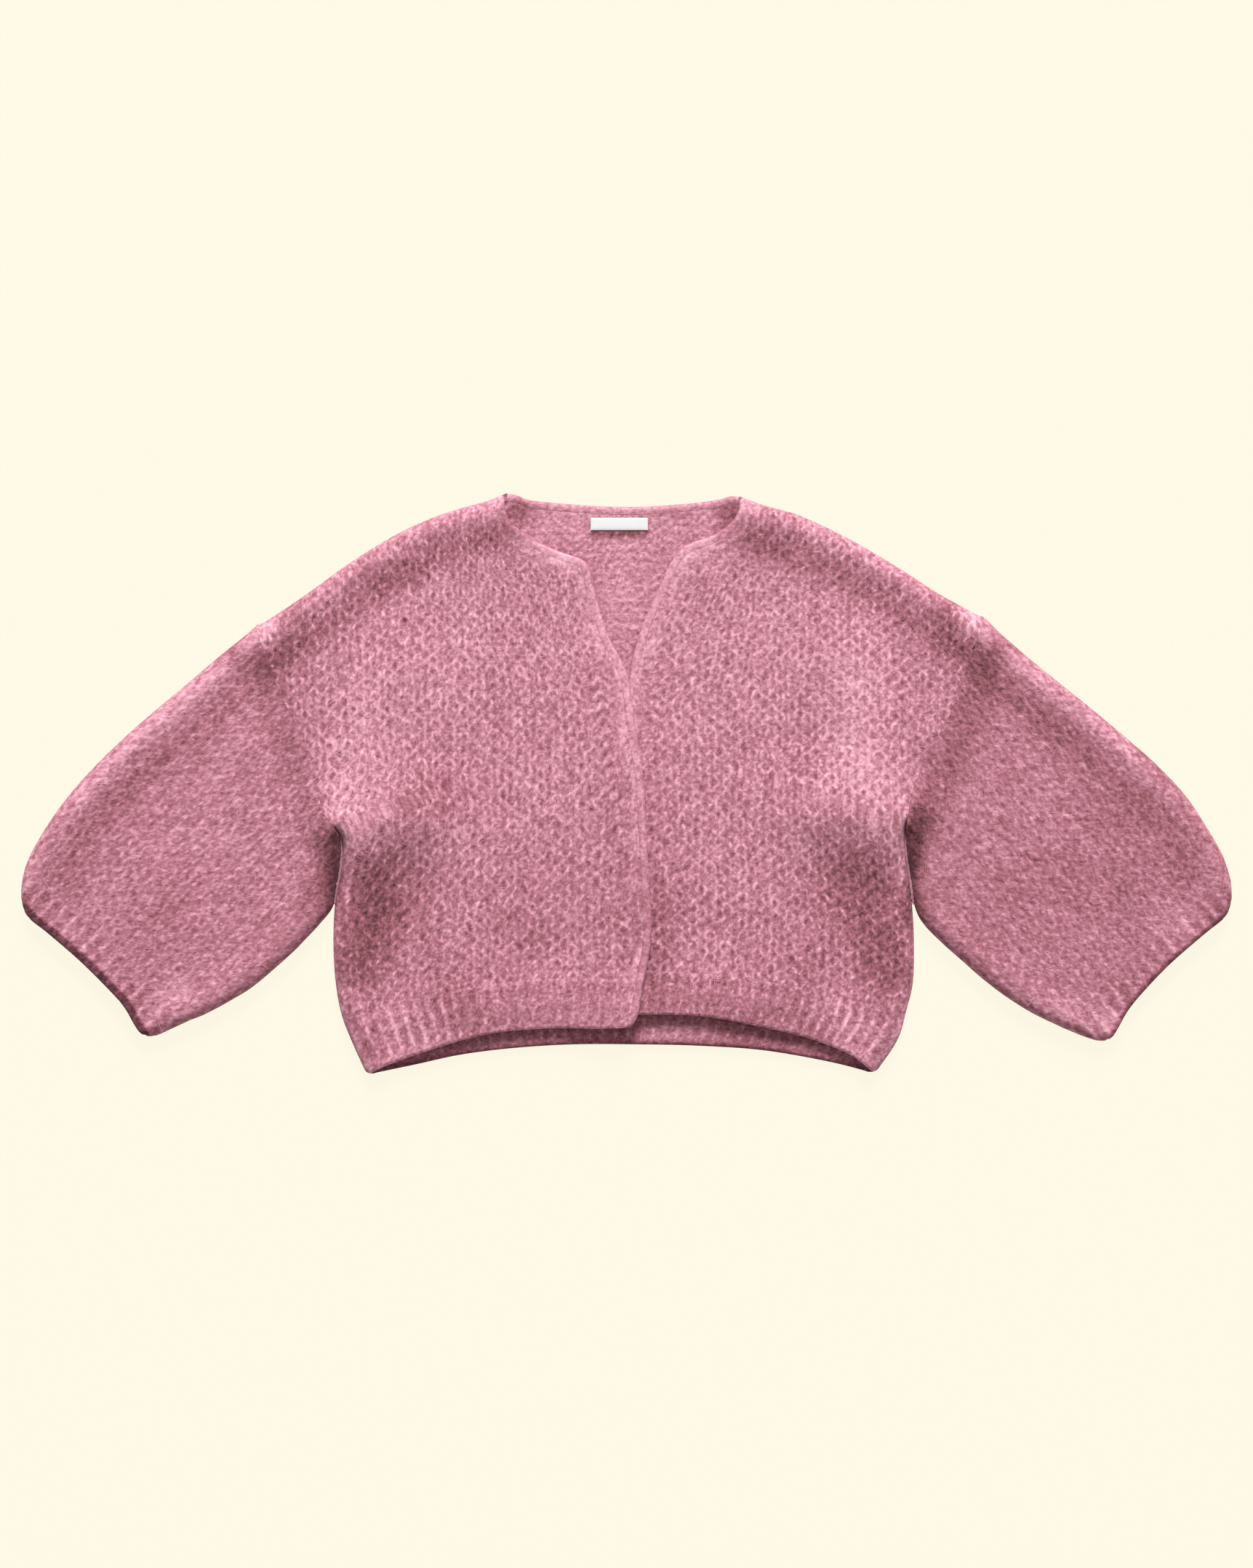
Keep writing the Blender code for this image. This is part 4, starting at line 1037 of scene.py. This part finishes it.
def neck_band():
    """The rolled edging along the back of the neck, whose inner face is on top."""
    columns = 160
    rim, out = neck_stations(columns)
    grid = rim[None] - out[None] * ROLL_AT[:, None, None]
    drop = roll(ROLL_AT)
    bulge = 0.3 * np.sin(np.pi * np.clip(ROLL_AT / 7.5, 0.0, 1.0))
    under = join(grid, drop[:, None] * np.ones(columns))
    over = join(grid, (WALL + bulge - drop)[:, None] * np.ones(columns))
    x, y = grid[..., 0], grid[..., 1]
    flecks = 0.14 * field(x, y * 2.0, 6.0, 17) + 0.12 * field(x, y, 3.0, 18)
    # a lighter band along the roll's crest: painted highlight
    yarn = 0.56 + 0.26 * np.exp(-((ROLL_AT[:, None] - 2.4) / 3.0) ** 2) + flecks
    over = raised(over, under, 0.5 * flecks * soft(ROLL_AT / 2.0)[:, None])
    wall("back_neck_band", over, under, yarn, inside_shading(grid), every=3)


def back_panel(right, left):
    columns, neck_columns, side_rows, arm_rows = 84, 104, 90, 150
    hem = dense(BACK_HEM, 30.0)
    seam = hem + normals(hem, 1) * (HEM_DEPTH + SEAM / 2.0)
    sides = []
    for half in (right, left):
        low, seam_at = crossing(half.flank_in, seam)
        stations = half.flank_stations(low, side_rows, arm_rows)
        sides.append((pick(half.flank_in, stations), stations, seam_at))
    south = straight(seam, 2 * columns + neck_columns, sides[0][2], sides[1][2])
    rim, rim_out = neck_stations(neck_columns)
    tops = []
    ways = []
    for half in (right, left):
        _, end = crossing(half.flank_in, half.crown)
        start = crossing(half.shoulder, np.array(((0, 0), (half.table["shoulder"][0]))) * 1.2)[0]
        spots = np.linspace(start, end, columns)
        out = turn_at(pick(half.shoulder_out, spots), first=np.array((0.0, 1.0)), blend=16)
        tops.append(pick(half.shoulder, spots) - out * FOLD)
        ways.append(out)
    north = np.vstack([tops[0][::-1], rim - rim_out * FOLD, tops[1]])
    up = np.vstack([ways[0][::-1], rim_out, ways[1]])
    west, east = sides[0][0].copy(), sides[1][0].copy()
    west[-1], east[-1] = north[0], north[-1]
    sheet = Sheet(coons(south, north, west, east))
    for half, side in ((left, sides[1]), (right, sides[0])):
        rise = (side[1] - half.underarm) / (FOLD / STEP)
        curl = soft(1.0 - rise)
        out = pick(half.flank_out, side[1]) * (1.0 - (1.0 - curl) * SEAM / 2.0 / FOLD)[:, None]
        sheet.add("east", out, curl)
        sheet.mirror()
    extra = len(CURL)
    up = np.vstack([[right.up_at_tip()] * (extra + 1), up[1:-1], [left.up_at_tip()] * (extra + 1)])
    curl = np.ones(len(up))
    curl[extra + columns:extra + columns + neck_columns] = 0.0
    sheet.add("north", up, curl, reach=FOLD - BAND - SEAM)
    outer, inner = sheet.lower()
    for part in (outer, inner):
        eased_tip(right, part, PANEL_TIP)
        eased_tip(left, part, PANEL_TIP)
    x, y = inner[..., 0], inner[..., 1]
    u = x / 12.4 + 0.3 * field(x, y, 80.0, 40) + 0.20 * field(x, y, 17.0, 41)
    v = y / 7.8 + 0.35 * field(x, y, 100.0, 42) + 0.22 * field(x, y, 19.0, 43)
    rows = 0.38 + 0.30 * purl(u, v)
    yarn = rows + fuzz(np.stack([y, x], axis=-1), 24, 0.9)
    under_label = soft((LABEL["right"] + 6.0 - x) / 5.0) * soft((x - LABEL["left"] + 6.0) / 5.0)
    under_label = under_label * soft((LABEL["high"] + 6.0 - y) / 5.0)
    under_label = under_label * soft((y - LABEL["low"] + 6.0) / 5.0)
    amount = RELIEF * (rows - 0.5) * (1.0 - sheet.bend) * (1.0 - under_label) - 0.3 * under_label
    face = raised(inner, outer, amount)
    knit = stocking(u, y / COURSE)
    wall("back_panel", face, outer, yarn, inside_shading(face), every=3, inner_yarn=knit)


def back_hem(right, left):
    hem = dense(BACK_HEM, 30.0)
    seam = hem + normals(hem, 1) * (HEM_DEPTH - SEAM / 2.0)
    gaps = free_rows(HEM_DEPTH, 1.6)
    share = gaps / HEM_DEPTH
    ends = []
    for half in (right, left):
        low, hem_at = crossing(half.flank_in, hem)
        high, seam_at = crossing(half.flank_in, seam)
        ends.append((low + (high - low) * share, hem_at, seam_at, half.flank_in))
    columns = 8 * BACK_RIBS + 1
    sheet = Sheet(coons(straight(hem, columns, ends[0][1], ends[1][1]),
                        straight(seam, columns, ends[0][2], ends[1][2]),
                        pick(ends[0][3], ends[0][0]), pick(ends[1][3], ends[1][0]), share))
    for half, end, sign in ((left, ends[1], 1), (right, ends[0], -1)):
        way = sign * (pick(hem, end[1] + 4.0) - pick(hem, end[1] - 4.0))
        out = turn_at(pick(half.flank_out, end[0]), first=way, blend=16)
        sheet.add("east", out, np.ones(len(gaps)))
        sheet.mirror()
    outer, inner = sheet.lower()
    rounded(inner, outer, gaps)
    for part in (outer, inner):
        for half in (right, left):
            blunted(part, half.table["hem"][-1], half.table["hem"][-2], half.table["side"][-2], 5.0)
    count = sheet.outer.shape[1]
    x, y = inner[..., 0], inner[..., 1]
    u = np.arange(count)[None, :] / 8.0 + 0.25 + 0.1 * field(x, y, 26.0, 12)
    v = gaps[:, None] / COURSE + 0.25 * field(x, y, 22.0, 13)
    rib = ribbing(u, v)
    cast = soft((7.0 - gaps) / 5.0)[:, None]
    rib = mixed(rib, 0.60, cast)
    amount = RELIEF * (rib - 0.5) * (1.0 - sheet.bend) * soft(gaps / 4.0)[:, None]
    yarn = rib + fuzz(inner[..., :2], 26, 0.8)
    face = raised(inner, outer, amount)
    wall("back_hem", face, outer, yarn, inside_shading(face), every=3)


def inset(half, name, turn, reach):
    """A line of the arm's outline, its normals, and the line a fold's width inside it."""
    line = dense(half.table[name], reach)
    out = normals(line, turn)
    return line, out, line - out * FOLD


def sleeve_rings(grid, over, under, thin):
    """Points of a flattened tube from the plan grid of its flat part, top side first."""
    z = height(grid)
    outer = [join(grid, z)]
    inner = [join(grid, z - WALL)]
    knit = [grid]

    def fold(edge, out, z_edge, angles):
        for angle in angles:
            wide, lift = np.sin(angle), np.cos(angle)
            tall = (z_edge - MID) if lift > 0 else np.full(len(z_edge), MID)
            slim = (z_edge - WALL - MID) if lift > 0 else np.full(len(z_edge), MID - WALL)
            outer.append(join(edge + out * FOLD * wide, MID + tall * lift)[:, None])
            inner.append(join(edge + out * (FOLD - WALL) * wide, MID + slim * lift)[:, None])
            knit.append((edge + out * DRAWN * FOLD * angle / (0.5 * np.pi))[:, None])

    angles = np.radians(np.linspace(12.0, 168.0, 14))
    fold(grid[:, -1], under, z[:, -1], angles)
    flat = grid[:, ::-1][:, ::thin]
    if (grid.shape[1] - 1) % thin:
        flat = np.concatenate([flat, grid[:, :1]], axis=1)
    outer.append(join(flat, np.zeros(flat.shape[:2])))
    inner.append(join(flat, np.full(flat.shape[:2], WALL)))
    knit.append(flat)
    fold(grid[:, 0], over, z[:, 0], angles[::-1])
    return [np.concatenate(parts, axis=1) for parts in (outer, inner, knit)]


def ring_weight(outer):
    """1 on the top side of a tube, falling round its folds to nearly nothing underneath."""
    return 0.08 + 0.92 * soft((outer[..., 2] - 6.0) / 8.0)


def sleeve(half, name):
    rows, rows_arm = 190, 160
    _, top_out, over_line = inset(half, "sleeve_top", -half.hand, 12.0)
    _, under_out, under_line = inset(half, "sleeve_under", half.hand, 12.0)
    seam = dense(half.table["cuff_seam"], 12.0)
    stations = half.arm_stations(rows_arm)[::-1]
    arm = pick(half.flank, stations) + pick(half.flank_out, stations) * SEAM / 2.0
    top_end, seam_a = crossing(over_line, seam)
    under_end, seam_b = crossing(under_line, seam)
    top_start = nearest(over_line, arm[0])
    under_start = nearest(under_line, arm[-1])
    back_off = SEAM / 2.0 / STEP
    north = straight(over_line, rows, top_start, top_end - back_off)
    south = straight(under_line, rows, under_start, under_end - back_off)
    mouth = straight(seam, rows_arm, seam_a, seam_b)
    back = arm.mean(axis=0) - mouth.mean(axis=0)
    mouth = mouth + back / np.linalg.norm(back) * SEAM / 2.0
    grid = coons(arm, mouth, eased(north, arm[0], mouth[0]), eased(south, arm[-1], mouth[-1]))
    over = turn_at(pick(top_out, np.linspace(top_start, top_end, rows)), first=half.rise,
                   last=pick(seam, seam_a) - pick(seam, seam_a + 4.0), blend=24)
    over[0] = half.up_at_tip()
    below = turn_at(pick(under_out, np.linspace(under_start, under_end, rows)),
                    last=pick(seam, seam_b) - pick(seam, seam_b - 4.0), blend=24)
    first = (pick(half.flank, half.underarm) - arm[-1]) / FOLD
    for k in range(12):
        share = soft(1.0 - k / 12.0)
        below[k] = share * first + (1.0 - share) * below[k]
    outer, inner, knit = sleeve_rings(grid, over, below, 3)
    for part in (outer, inner):
        eased_tip(half, part, SLEEVE_TIP)
    yarn = slanted(*arm_knit(half, knit))
    amount = 0.15 * RELIEF * (yarn - 0.5) * ring_weight(outer)
    yarn = yarn + arm_fuzz(knit, half.hand)
    outer = raised(outer, inner, amount, ring=True)
    wall(name, outer, inner, yarn, shading(outer, SHADES + ARM_SHADES), ring=True, every=6)


def eased(curve, first, last=None):
    """The curve moved so that it starts, and if told ends, at given points."""
    t = np.arange(len(curve))
    moved = curve + soft(1.0 - t / 12.0)[:, None] * (first - curve[0])
    if last is not None:
        moved = moved + soft(1.0 - (len(curve) - 1 - t) / 12.0)[:, None] * (last - curve[-1])
    return moved


def cuff(half, name):
    top, top_out, over_line = inset(half, "cuff_top", -half.hand, 26.0)
    under, under_out, under_line = inset(half, "cuff_under", half.hand, 26.0)
    seam = dense(half.table["cuff_seam"], 12.0)
    end = dense(half.table["cuff_edge"], 12.0)
    a0, s0 = crossing(over_line, seam)
    a1, e0 = crossing(over_line, end)
    b0, s1 = crossing(under_line, seam)
    b1, e1 = crossing(under_line, end)
    columns = 10 * CUFF_RIBS + 1
    start = straight(seam, columns, s0, s1)
    stop = straight(end, columns, e0, e1)
    nudge = stop.mean(axis=0) - start.mean(axis=0)
    depth = float(np.linalg.norm(nudge))
    start = start + nudge / depth * SEAM / 2.0
    gaps = free_rows(depth, 1.25)[::-1]
    share = 1.0 - gaps / depth
    north = eased(pick(over_line, a0 + (a1 - a0) * share), start[0])
    south = eased(pick(under_line, b0 + (b1 - b0) * share), start[-1])
    grid = coons(start, stop, north, south, share)
    over = turn_at(pick(top_out, a0 + (a1 - a0) * share), pick(seam, s0) - pick(seam, s0 + 4.0),
                   pick(end, e0 - 3.0) - pick(end, e0), 14)
    below = turn_at(pick(under_out, b0 + (b1 - b0) * share), pick(seam, s1) - pick(seam, s1 - 4.0),
                    pick(end, e1 + 3.0) - pick(end, e1), 14)
    outer, inner, knit = sleeve_rings(grid, over, below, 2)
    drop = roll(gaps) / WALL
    mean = (outer + inner) / 2.0
    for part in (outer, inner):
        part += (mean - part) * (2.0 * drop * 0.98)[:, None, None]
    for line, radius in ((top, 20.0), (under, 12.0)):
        at_line, at_end = crossing(line, end)
        inward = 14.0 if at_end < len(end) / 2.0 else -14.0
        for part in (outer, inner):
            blunted(part, pick(line, at_line), pick(line, at_line - 14.0),
                    pick(end, at_end + inward), radius, strict=True)
    knitted = arm_knit(half, knit)
    yarn = ribbing(*knitted, 1.7)
    yarn = mixed(yarn, slanted(*knitted), soft((gaps - depth + 9.0) / 9.0)[:, None])
    cast = soft((6.0 - gaps) / 5.0)[:, None]
    yarn = yarn * (1.0 - 0.8 * cast) + 0.8 * 0.56 * cast
    amount = 0.5 * RELIEF * (yarn - 0.5) * ring_weight(outer) * soft(gaps / 4.0)[:, None]
    yarn = yarn + arm_fuzz(knit, half.hand)
    outer = raised(outer, inner, amount, ring=True)
    wall(name, outer, inner, yarn, shading(outer), ring=True, every=5)


def neck_label():
    """A bare woven tape, a little slack between its sewn ends."""
    columns, rows = 73, 19
    x = np.linspace(LABEL["left"], LABEL["right"], columns)
    y = np.linspace(LABEL["low"], LABEL["high"], rows)
    px, py = np.meshgrid(x, y)
    sx = (px - x.mean()) / (x[-1] - x[0]) * 2.0
    sy = (py - y.mean()) / (y[-1] - y[0]) * 2.0
    slack = 0.35 * (1.0 - sx ** 6) * (1.0 - 0.5 * sy ** 2) + 0.08 * np.cos(px * 0.45)
    low = 6.45 + slack
    roundoff = 0.3 * np.maximum(np.abs(sx) ** 24, np.abs(sy) ** 8)
    outer = np.stack([px, py, low + LABEL["thick"] - roundoff], axis=-1)
    inner = np.stack([px, py, low + roundoff * 0.3], axis=-1)
    wall("neck_label", outer, inner, np.full(px.shape, 0.5), every=6)


# Materials

class Graph:
    """A short way to write shader nodes."""

    def __init__(self, name):
        self.material = bpy.data.materials.new(name)
        self.material.use_nodes = True
        self.tree = self.material.node_tree
        self.shader = self.tree.nodes["Principled BSDF"]

    def put(self, socket, value):
        if isinstance(value, bpy.types.NodeSocket):
            self.tree.links.new(value, socket)
        elif value is not None:
            socket.default_value = value

    def constants(self, values):
        """Constant values, straight on the shader's sockets."""
        for key, value in values.items():
            self.shader.inputs[key].default_value = value

    def node(self, kind, inputs=None, out=0, **settings):
        made = self.tree.nodes.new(kind)
        for key, value in settings.items():
            setattr(made, key, value)
        for key, value in (inputs or {}).items():
            self.put(made.inputs[key], value)
        return made.outputs[out]

    def math(self, kind, a, b=None, c=None):
        made = self.tree.nodes.new("ShaderNodeMath")
        made.operation = kind
        for socket, value in zip(made.inputs, (a, b, c)):
            self.put(socket, value)
        return made.outputs[0]

    def attribute(self, name):
        return self.node("ShaderNodeAttribute", out=2, attribute_name=name)

    def ramp(self, value, stops):
        made = self.tree.nodes.new("ShaderNodeValToRGB")
        ramp = made.color_ramp
        while len(ramp.elements) < len(stops):
            ramp.elements.new(0.5)
        for element, (at, colour) in zip(ramp.elements, stops):
            element.position = at
            element.color = (*colour, 1.0)
        self.put(made.inputs[0], value)
        return made.outputs[0]

    def wool(self, value):
        """The wool's colour at a share of the way up from a hole's bottom."""
        span = LIGHTEST - DARKEST
        stops = [((at - DARKEST) / span, tuple(c * LIT for c in colour)) for at, colour in WOOL]
        return self.ramp(self.math("MULTIPLY_ADD", value, 1.0 / span, -DARKEST / span), stops)


# The wool's colours from the bottom of a hole to the top of a strand; the darkest stop, below 0,
# serves the painted shade.
WOOL = ((-0.30, (0.085, 0.026, 0.034)), (0.00, (0.205, 0.066, 0.085)),
        (0.11, (0.258, 0.087, 0.109)), (0.29, (0.366, 0.133, 0.171)),
        (0.42, (0.451, 0.175, 0.230)), (0.51, (0.521, 0.218, 0.285)), (0.60, (0.597, 0.265, 0.341)),
        (0.68, (0.680, 0.318, 0.404)), (0.77, (0.752, 0.371, 0.467)), (0.89, (0.847, 0.441, 0.549)),
        (1.00, (0.905, 0.508, 0.616)), (1.16, (0.990, 0.600, 0.710)))
DARKEST, LIGHTEST = WOOL[0][0], WOOL[-1][0]
LIT = 0.95      # share of the table's colours that the wool shows
MEAN = 0.546    # the middle of the knit's share of the way up
HAIR = 0.35


def knit_material(name, shift=0.0, gain=0.62, turn=90.0, stretch=0.8, nap=0.95, fine=325.0):
    """turn: which way the nap runs, in degrees; stretch: how drawn out its flecks are. gain,
    nap and HAIR weigh the stitches, the flecks and the fine hairs; shift sets the mean."""
    g = Graph(name)
    place = g.node("ShaderNodeNewGeometry", out=0)
    turned = g.node("ShaderNodeMapping", {"Vector": place, "Scale": (stretch, 1.0, 1.0),
                                          "Rotation": (0.0, 0.0, math.radians(-turn))})
    flecks = g.node("ShaderNodeTexNoise", {"Vector": turned, "Scale": fine, "Detail": 2.0,
                                           "Roughness": 0.62, "Distortion": 0.3})
    hairs = []
    for lean in (0.6, -0.7):
        across = g.node("ShaderNodeMapping", {"Vector": turned, "Rotation": (0.0, 0.0, lean),
                                              "Scale": (0.35, 1.0, 1.0)})
        hairs.append(g.node("ShaderNodeTexNoise", {"Vector": across, "Scale": 760.0, "Detail": 2.0,
                                                   "Roughness": 0.6, "Distortion": 1.0}))
    hair = g.math("MAXIMUM", hairs[0], hairs[1])
    value = g.math("MULTIPLY_ADD", g.attribute("yarn"), gain,
                   MEAN - 0.5 * gain - 0.57 * HAIR - 0.5 * nap + shift)
    value = g.math("MULTIPLY_ADD", hair, HAIR, value)
    value = g.math("MULTIPLY_ADD", flecks, nap, value)
    # add the painted shade and light, with a little random mottling, from its point layer
    value = g.math("ADD", value, g.attribute("shade_and_tone"))
    colour = g.wool(value)
    g.put(g.shader.inputs["Base Color"], colour)
    g.constants({"Roughness": 0.92, "Specular IOR Level": 0.12, "Sheen Weight": 0.20,
                 "Sheen Roughness": 0.5, "Sheen Tint": (1.0, 0.80, 0.86, 1.0)})
    bump = g.node("ShaderNodeBump", {"Height": hair, "Strength": 0.3, "Distance": 0.0008})
    g.put(g.shader.inputs["Normal"], bump)
    return g.material


def label_material():
    g = Graph("neck_label")
    place = g.node("ShaderNodeNewGeometry", out=0)
    weft = g.node("ShaderNodeTexWave", {"Vector": place, "Scale": 420.0, "Distortion": 0.4},
                  out=1, bands_direction="Y")
    warp = g.node("ShaderNodeTexWave", {"Vector": place, "Scale": 300.0, "Distortion": 0.4},
                  out=1, bands_direction="X")
    weave = g.math("MULTIPLY_ADD", weft, 0.6, warp)
    colour = g.ramp(weave, ((0.0, (0.67, 0.69, 0.70)), (1.0, (0.82, 0.84, 0.85))))
    g.put(g.shader.inputs["Base Color"], colour)
    g.constants({"Roughness": 0.6, "Sheen Weight": 0.1})
    g.put(g.shader.inputs["Normal"], g.node("ShaderNodeBump", {"Height": weave, "Strength": 0.4,
                                                               "Distance": 0.0002}))
    return g.material


def fibre_material():
    g = Graph("mohair_fibre")
    place = g.node("ShaderNodeNewGeometry", out=0)
    cloud = g.node("ShaderNodeTexNoise", {"Vector": place, "Scale": 120.0, "Detail": 1.0})
    # each hair shows the painted shade and light of the point it grows from
    value = g.math("ADD", g.math("MULTIPLY_ADD", cloud, 0.6, 0.30), g.attribute("shade_and_tone"))
    colour = g.wool(value)
    g.put(g.shader.inputs["Base Color"], colour)
    g.constants({"Roughness": 0.7, "Sheen Weight": 0.3})
    return g.material


EDGES = np.vstack([OUTLINE, both("edge", "hem", "cuff_top", "cuff_under", "cuff_edge")])


FIBRES = 6000
CREASE_HAIRS = 420      # in each underarm


def fibres(names, count, seed, name):
    """Loose mohair hairs that lie over the stitches, as thin flat strips."""
    rng = np.random.default_rng(seed)
    starts, ups, shades_and_tones = [], [], []
    for piece_name in names:
        mesh = PIECES[piece_name].data
        co = np.zeros(len(mesh.vertices) * 3, np.float32)
        mesh.vertices.foreach_get("co", co)
        no = np.zeros(len(mesh.vertices) * 3, np.float32)
        mesh.vertices.foreach_get("normal", no)
        co, no = co.reshape(-1, 3) * 1000.0, no.reshape(-1, 3)
        seen = (no[:, 2] > 0.55) & (co[:, 2] > 10.0)
        seen &= distance(co[:, :2].astype(float), EDGES) > 10.0
        # keep the painted shade and light of the surface at each hair's root
        shade_and_tone = np.zeros(len(mesh.vertices), np.float32)
        mesh.attributes["shade_and_tone"].data.foreach_get("value", shade_and_tone)
        starts.append(co[seen])
        ups.append(no[seen])
        shades_and_tones.append(shade_and_tone[seen])
    starts, ups, shades_and_tones = np.vstack(starts), np.vstack(ups), np.concatenate(shades_and_tones)
    chosen = rng.choice(len(starts), count, replace=False)
    start, up, shade = starts[chosen], ups[chosen], shades_and_tones[chosen]
    up = up * 0.3 + np.array((0.0, 0.0, 0.7))
    up /= np.linalg.norm(up, axis=1)[:, None]
    long = rng.uniform(4.0, 11.0, count)
    way = rng.uniform(0.0, 2.0 * np.pi, count)
    bend = rng.normal(0.0, 0.9, count)
    steps = 4
    line = []
    point = start.astype(float).copy()
    for k in range(steps + 1):
        line.append(point.copy())
        angle = way + bend * (k / steps)
        go = np.stack([np.cos(angle), np.sin(angle), np.zeros(count)], axis=1)
        go -= up * (go * up).sum(axis=1)[:, None]
        point = point + go * (long / steps)[:, None]
    line = np.stack(line, axis=1)
    t = np.linspace(0.0, 1.0, steps + 1)[None, :, None]
    lift = rng.uniform(0.1, 0.5, count)[:, None, None]
    line = line + up[:, None] * (0.1 + lift * np.sin(np.pi * t) ** 0.8)
    return strips(name, line, up, rng.uniform(0.12, 0.22, count), shade)


def strips(name, line, up, wide, shade):
    """Thin flat strips along lines of five points, as one object."""
    count, steps = len(line), line.shape[1] - 1
    ahead = np.gradient(line, axis=1)
    side = np.cross(ahead, up[:, None])
    side /= np.maximum(np.linalg.norm(side, axis=2), 1e-9)[..., None]
    wide = wide[:, None, None] * np.array((0.6, 1.0, 1.0, 0.8, 0.3))[None, :, None]
    points = np.stack([line - side * wide, line + side * wide], axis=2).reshape(-1, 3)
    base = (np.arange(count) * 2 * (steps + 1))[:, None, None]
    quad = np.array([(2 * k, 2 * k + 1, 2 * k + 3, 2 * k + 2) for k in range(steps)])[None]
    faces = (base + quad).reshape(-1, 4).tolist()
    piece = made(name, points, faces, {"shade_and_tone": np.repeat(shade, 2 * (steps + 1))})
    piece.data.materials.append(FIBRE)
    return piece


def underarm_shade_hairs(name):
    """Hairs laid in the crease between each sleeve and the body's side, closing it, coloured dark
    as painted shade.
    """
    rng = np.random.default_rng(9)
    lines = []
    for half in (RIGHT, LEFT):
        side, under = dense(half["side"]), dense(half["sleeve_under"])
        y = rng.uniform(-104.0, -46.0, CREASE_HAIRS)
        x_side = x_at(side, y)
        middle = (x_side + x_at(under, y)) / 2.0
        way = rng.normal(0.5 * np.pi, 0.35, CREASE_HAIRS)
        t = np.linspace(-0.5, 0.5, 5)[None]
        long = rng.uniform(5.0, 9.0, CREASE_HAIRS)[:, None]
        z = rng.uniform(6.0, 12.0, CREASE_HAIRS)[:, None] + 0.0 * t
        slope = (x_at(side, y + 4.0) - x_side) / 4.0
        x = middle[:, None] + long * t * (np.cos(way) * 0.5 + slope * np.sin(way))[:, None]
        lines.append(np.stack([x, y[:, None] + long * t * np.sin(way)[:, None], z], axis=-1))
    line = np.vstack(lines)
    up = np.tile((0.0, 0.0, 1.0), (len(line), 1))
    # the hairs' darkness is painted shade in the crease
    return strips(name, line, up, rng.uniform(0.5, 0.9, len(line)), np.full(len(line), -0.26))


right = Half(RIGHT, 1)
left = Half(LEFT, -1)
back_panel(right, left)
back_hem(right, left)
neck_band()
front_panel(right, "right_front_panel", lapped)
front_panel(left, "left_front_panel", height)
front_hem(right, "right_front_hem", lapped, HEM_RIBS["right"])
front_hem(left, "left_front_hem", height, HEM_RIBS["left"])
front_band(right, "right_front_band", lapped)
front_band(left, "left_front_band", height)
sleeve(right, "right_sleeve")
sleeve(left, "left_sleeve")
cuff(right, "right_cuff")
cuff(left, "left_cuff")
neck_label()

BODY_KNIT = knit_material("body_knit", shift=-0.01)
RIGHT_SLEEVE_KNIT = knit_material("right_sleeve_knit", shift=-0.075, gain=0.60, turn=44.0,
                                  stretch=0.5, fine=365.0)
# the same knit as the right sleeve's, painted a little darker as shade
LEFT_SLEEVE_KNIT = knit_material("left_sleeve_knit", shift=-0.105, gain=0.58, turn=-44.0,
                                 stretch=0.5, fine=365.0)
INSIDE_KNIT = knit_material("inside_knit", shift=0.025, turn=0.0)
EDGE_KNIT = knit_material("edge_knit", shift=-0.075)
FIBRE = fibre_material()
LOOKS = {"back_panel": INSIDE_KNIT, "back_hem": INSIDE_KNIT, "back_neck_band": EDGE_KNIT,
         "right_front_band": EDGE_KNIT, "left_front_band": EDGE_KNIT,
         "right_sleeve": RIGHT_SLEEVE_KNIT, "left_sleeve": LEFT_SLEEVE_KNIT,
         "right_cuff": RIGHT_SLEEVE_KNIT, "left_cuff": LEFT_SLEEVE_KNIT,
         "neck_label": label_material()}


hairs = fibres(["right_front_panel", "left_front_panel", "right_sleeve", "left_sleeve",
                "right_front_hem", "left_front_hem", "right_cuff", "left_cuff",
                "right_front_band", "left_front_band"], FIBRES, 5, "mohair_fibres")
nap = underarm_shade_hairs("underarm_shade_hairs")
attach(hairs, "root")
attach(nap, "root")

for name, piece in PIECES.items():
    piece.data.materials.append(LOOKS.get(name, BODY_KNIT))
    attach(piece, "root")
    piece.name = name + "_knit"
    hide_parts(name)


# Stage

PICTURE = 1.4014    # metres that the longer side of the picture takes in at the garment


def stage():
    bpy.ops.mesh.primitive_plane_add(size=30.0, location=(0.0, 0.0, -0.0004))
    floor = bpy.context.object
    floor.name = "floor"
    g = Graph("floor")
    g.constants({"Base Color": (0.02, 0.019, 0.016, 1.0), "Roughness": 0.9,
                 "Emission Color": (1.0, 0.947, 0.80, 1.0), "Emission Strength": 0.951})
    floor.data.materials.append(g.material)

    world = bpy.data.worlds.new("studio")
    bpy.context.scene.world = world
    world.use_nodes = True
    world.node_tree.nodes["Background"].inputs[0].default_value = (1.0, 0.985, 0.96, 1.0)
    world.node_tree.nodes["Background"].inputs[1].default_value = 0.45

    key = bpy.data.lights.new("key", "SUN")
    key.energy = 4.0
    key.angle = math.radians(22.0)
    key.color = (1.0, 0.99, 0.97)
    lamp = placed("key", key)
    lamp.rotation_euler = Vector((0.06, 1.0, 0.70)).to_track_quat("Z", "Y").to_euler()

    camera = bpy.data.cameras.new("camera")
    camera.lens = 100.0
    camera.sensor_width = 36.0
    camera.clip_end = 100.0
    eye = placed("camera", camera)
    eye.location = (0.0, 0.0, MID * MM + PICTURE * camera.lens / camera.sensor_width)
    bpy.context.scene.camera = eye
    bpy.context.scene.view_settings.view_transform = "Standard"


stage()
bpy.context.view_layer.update()
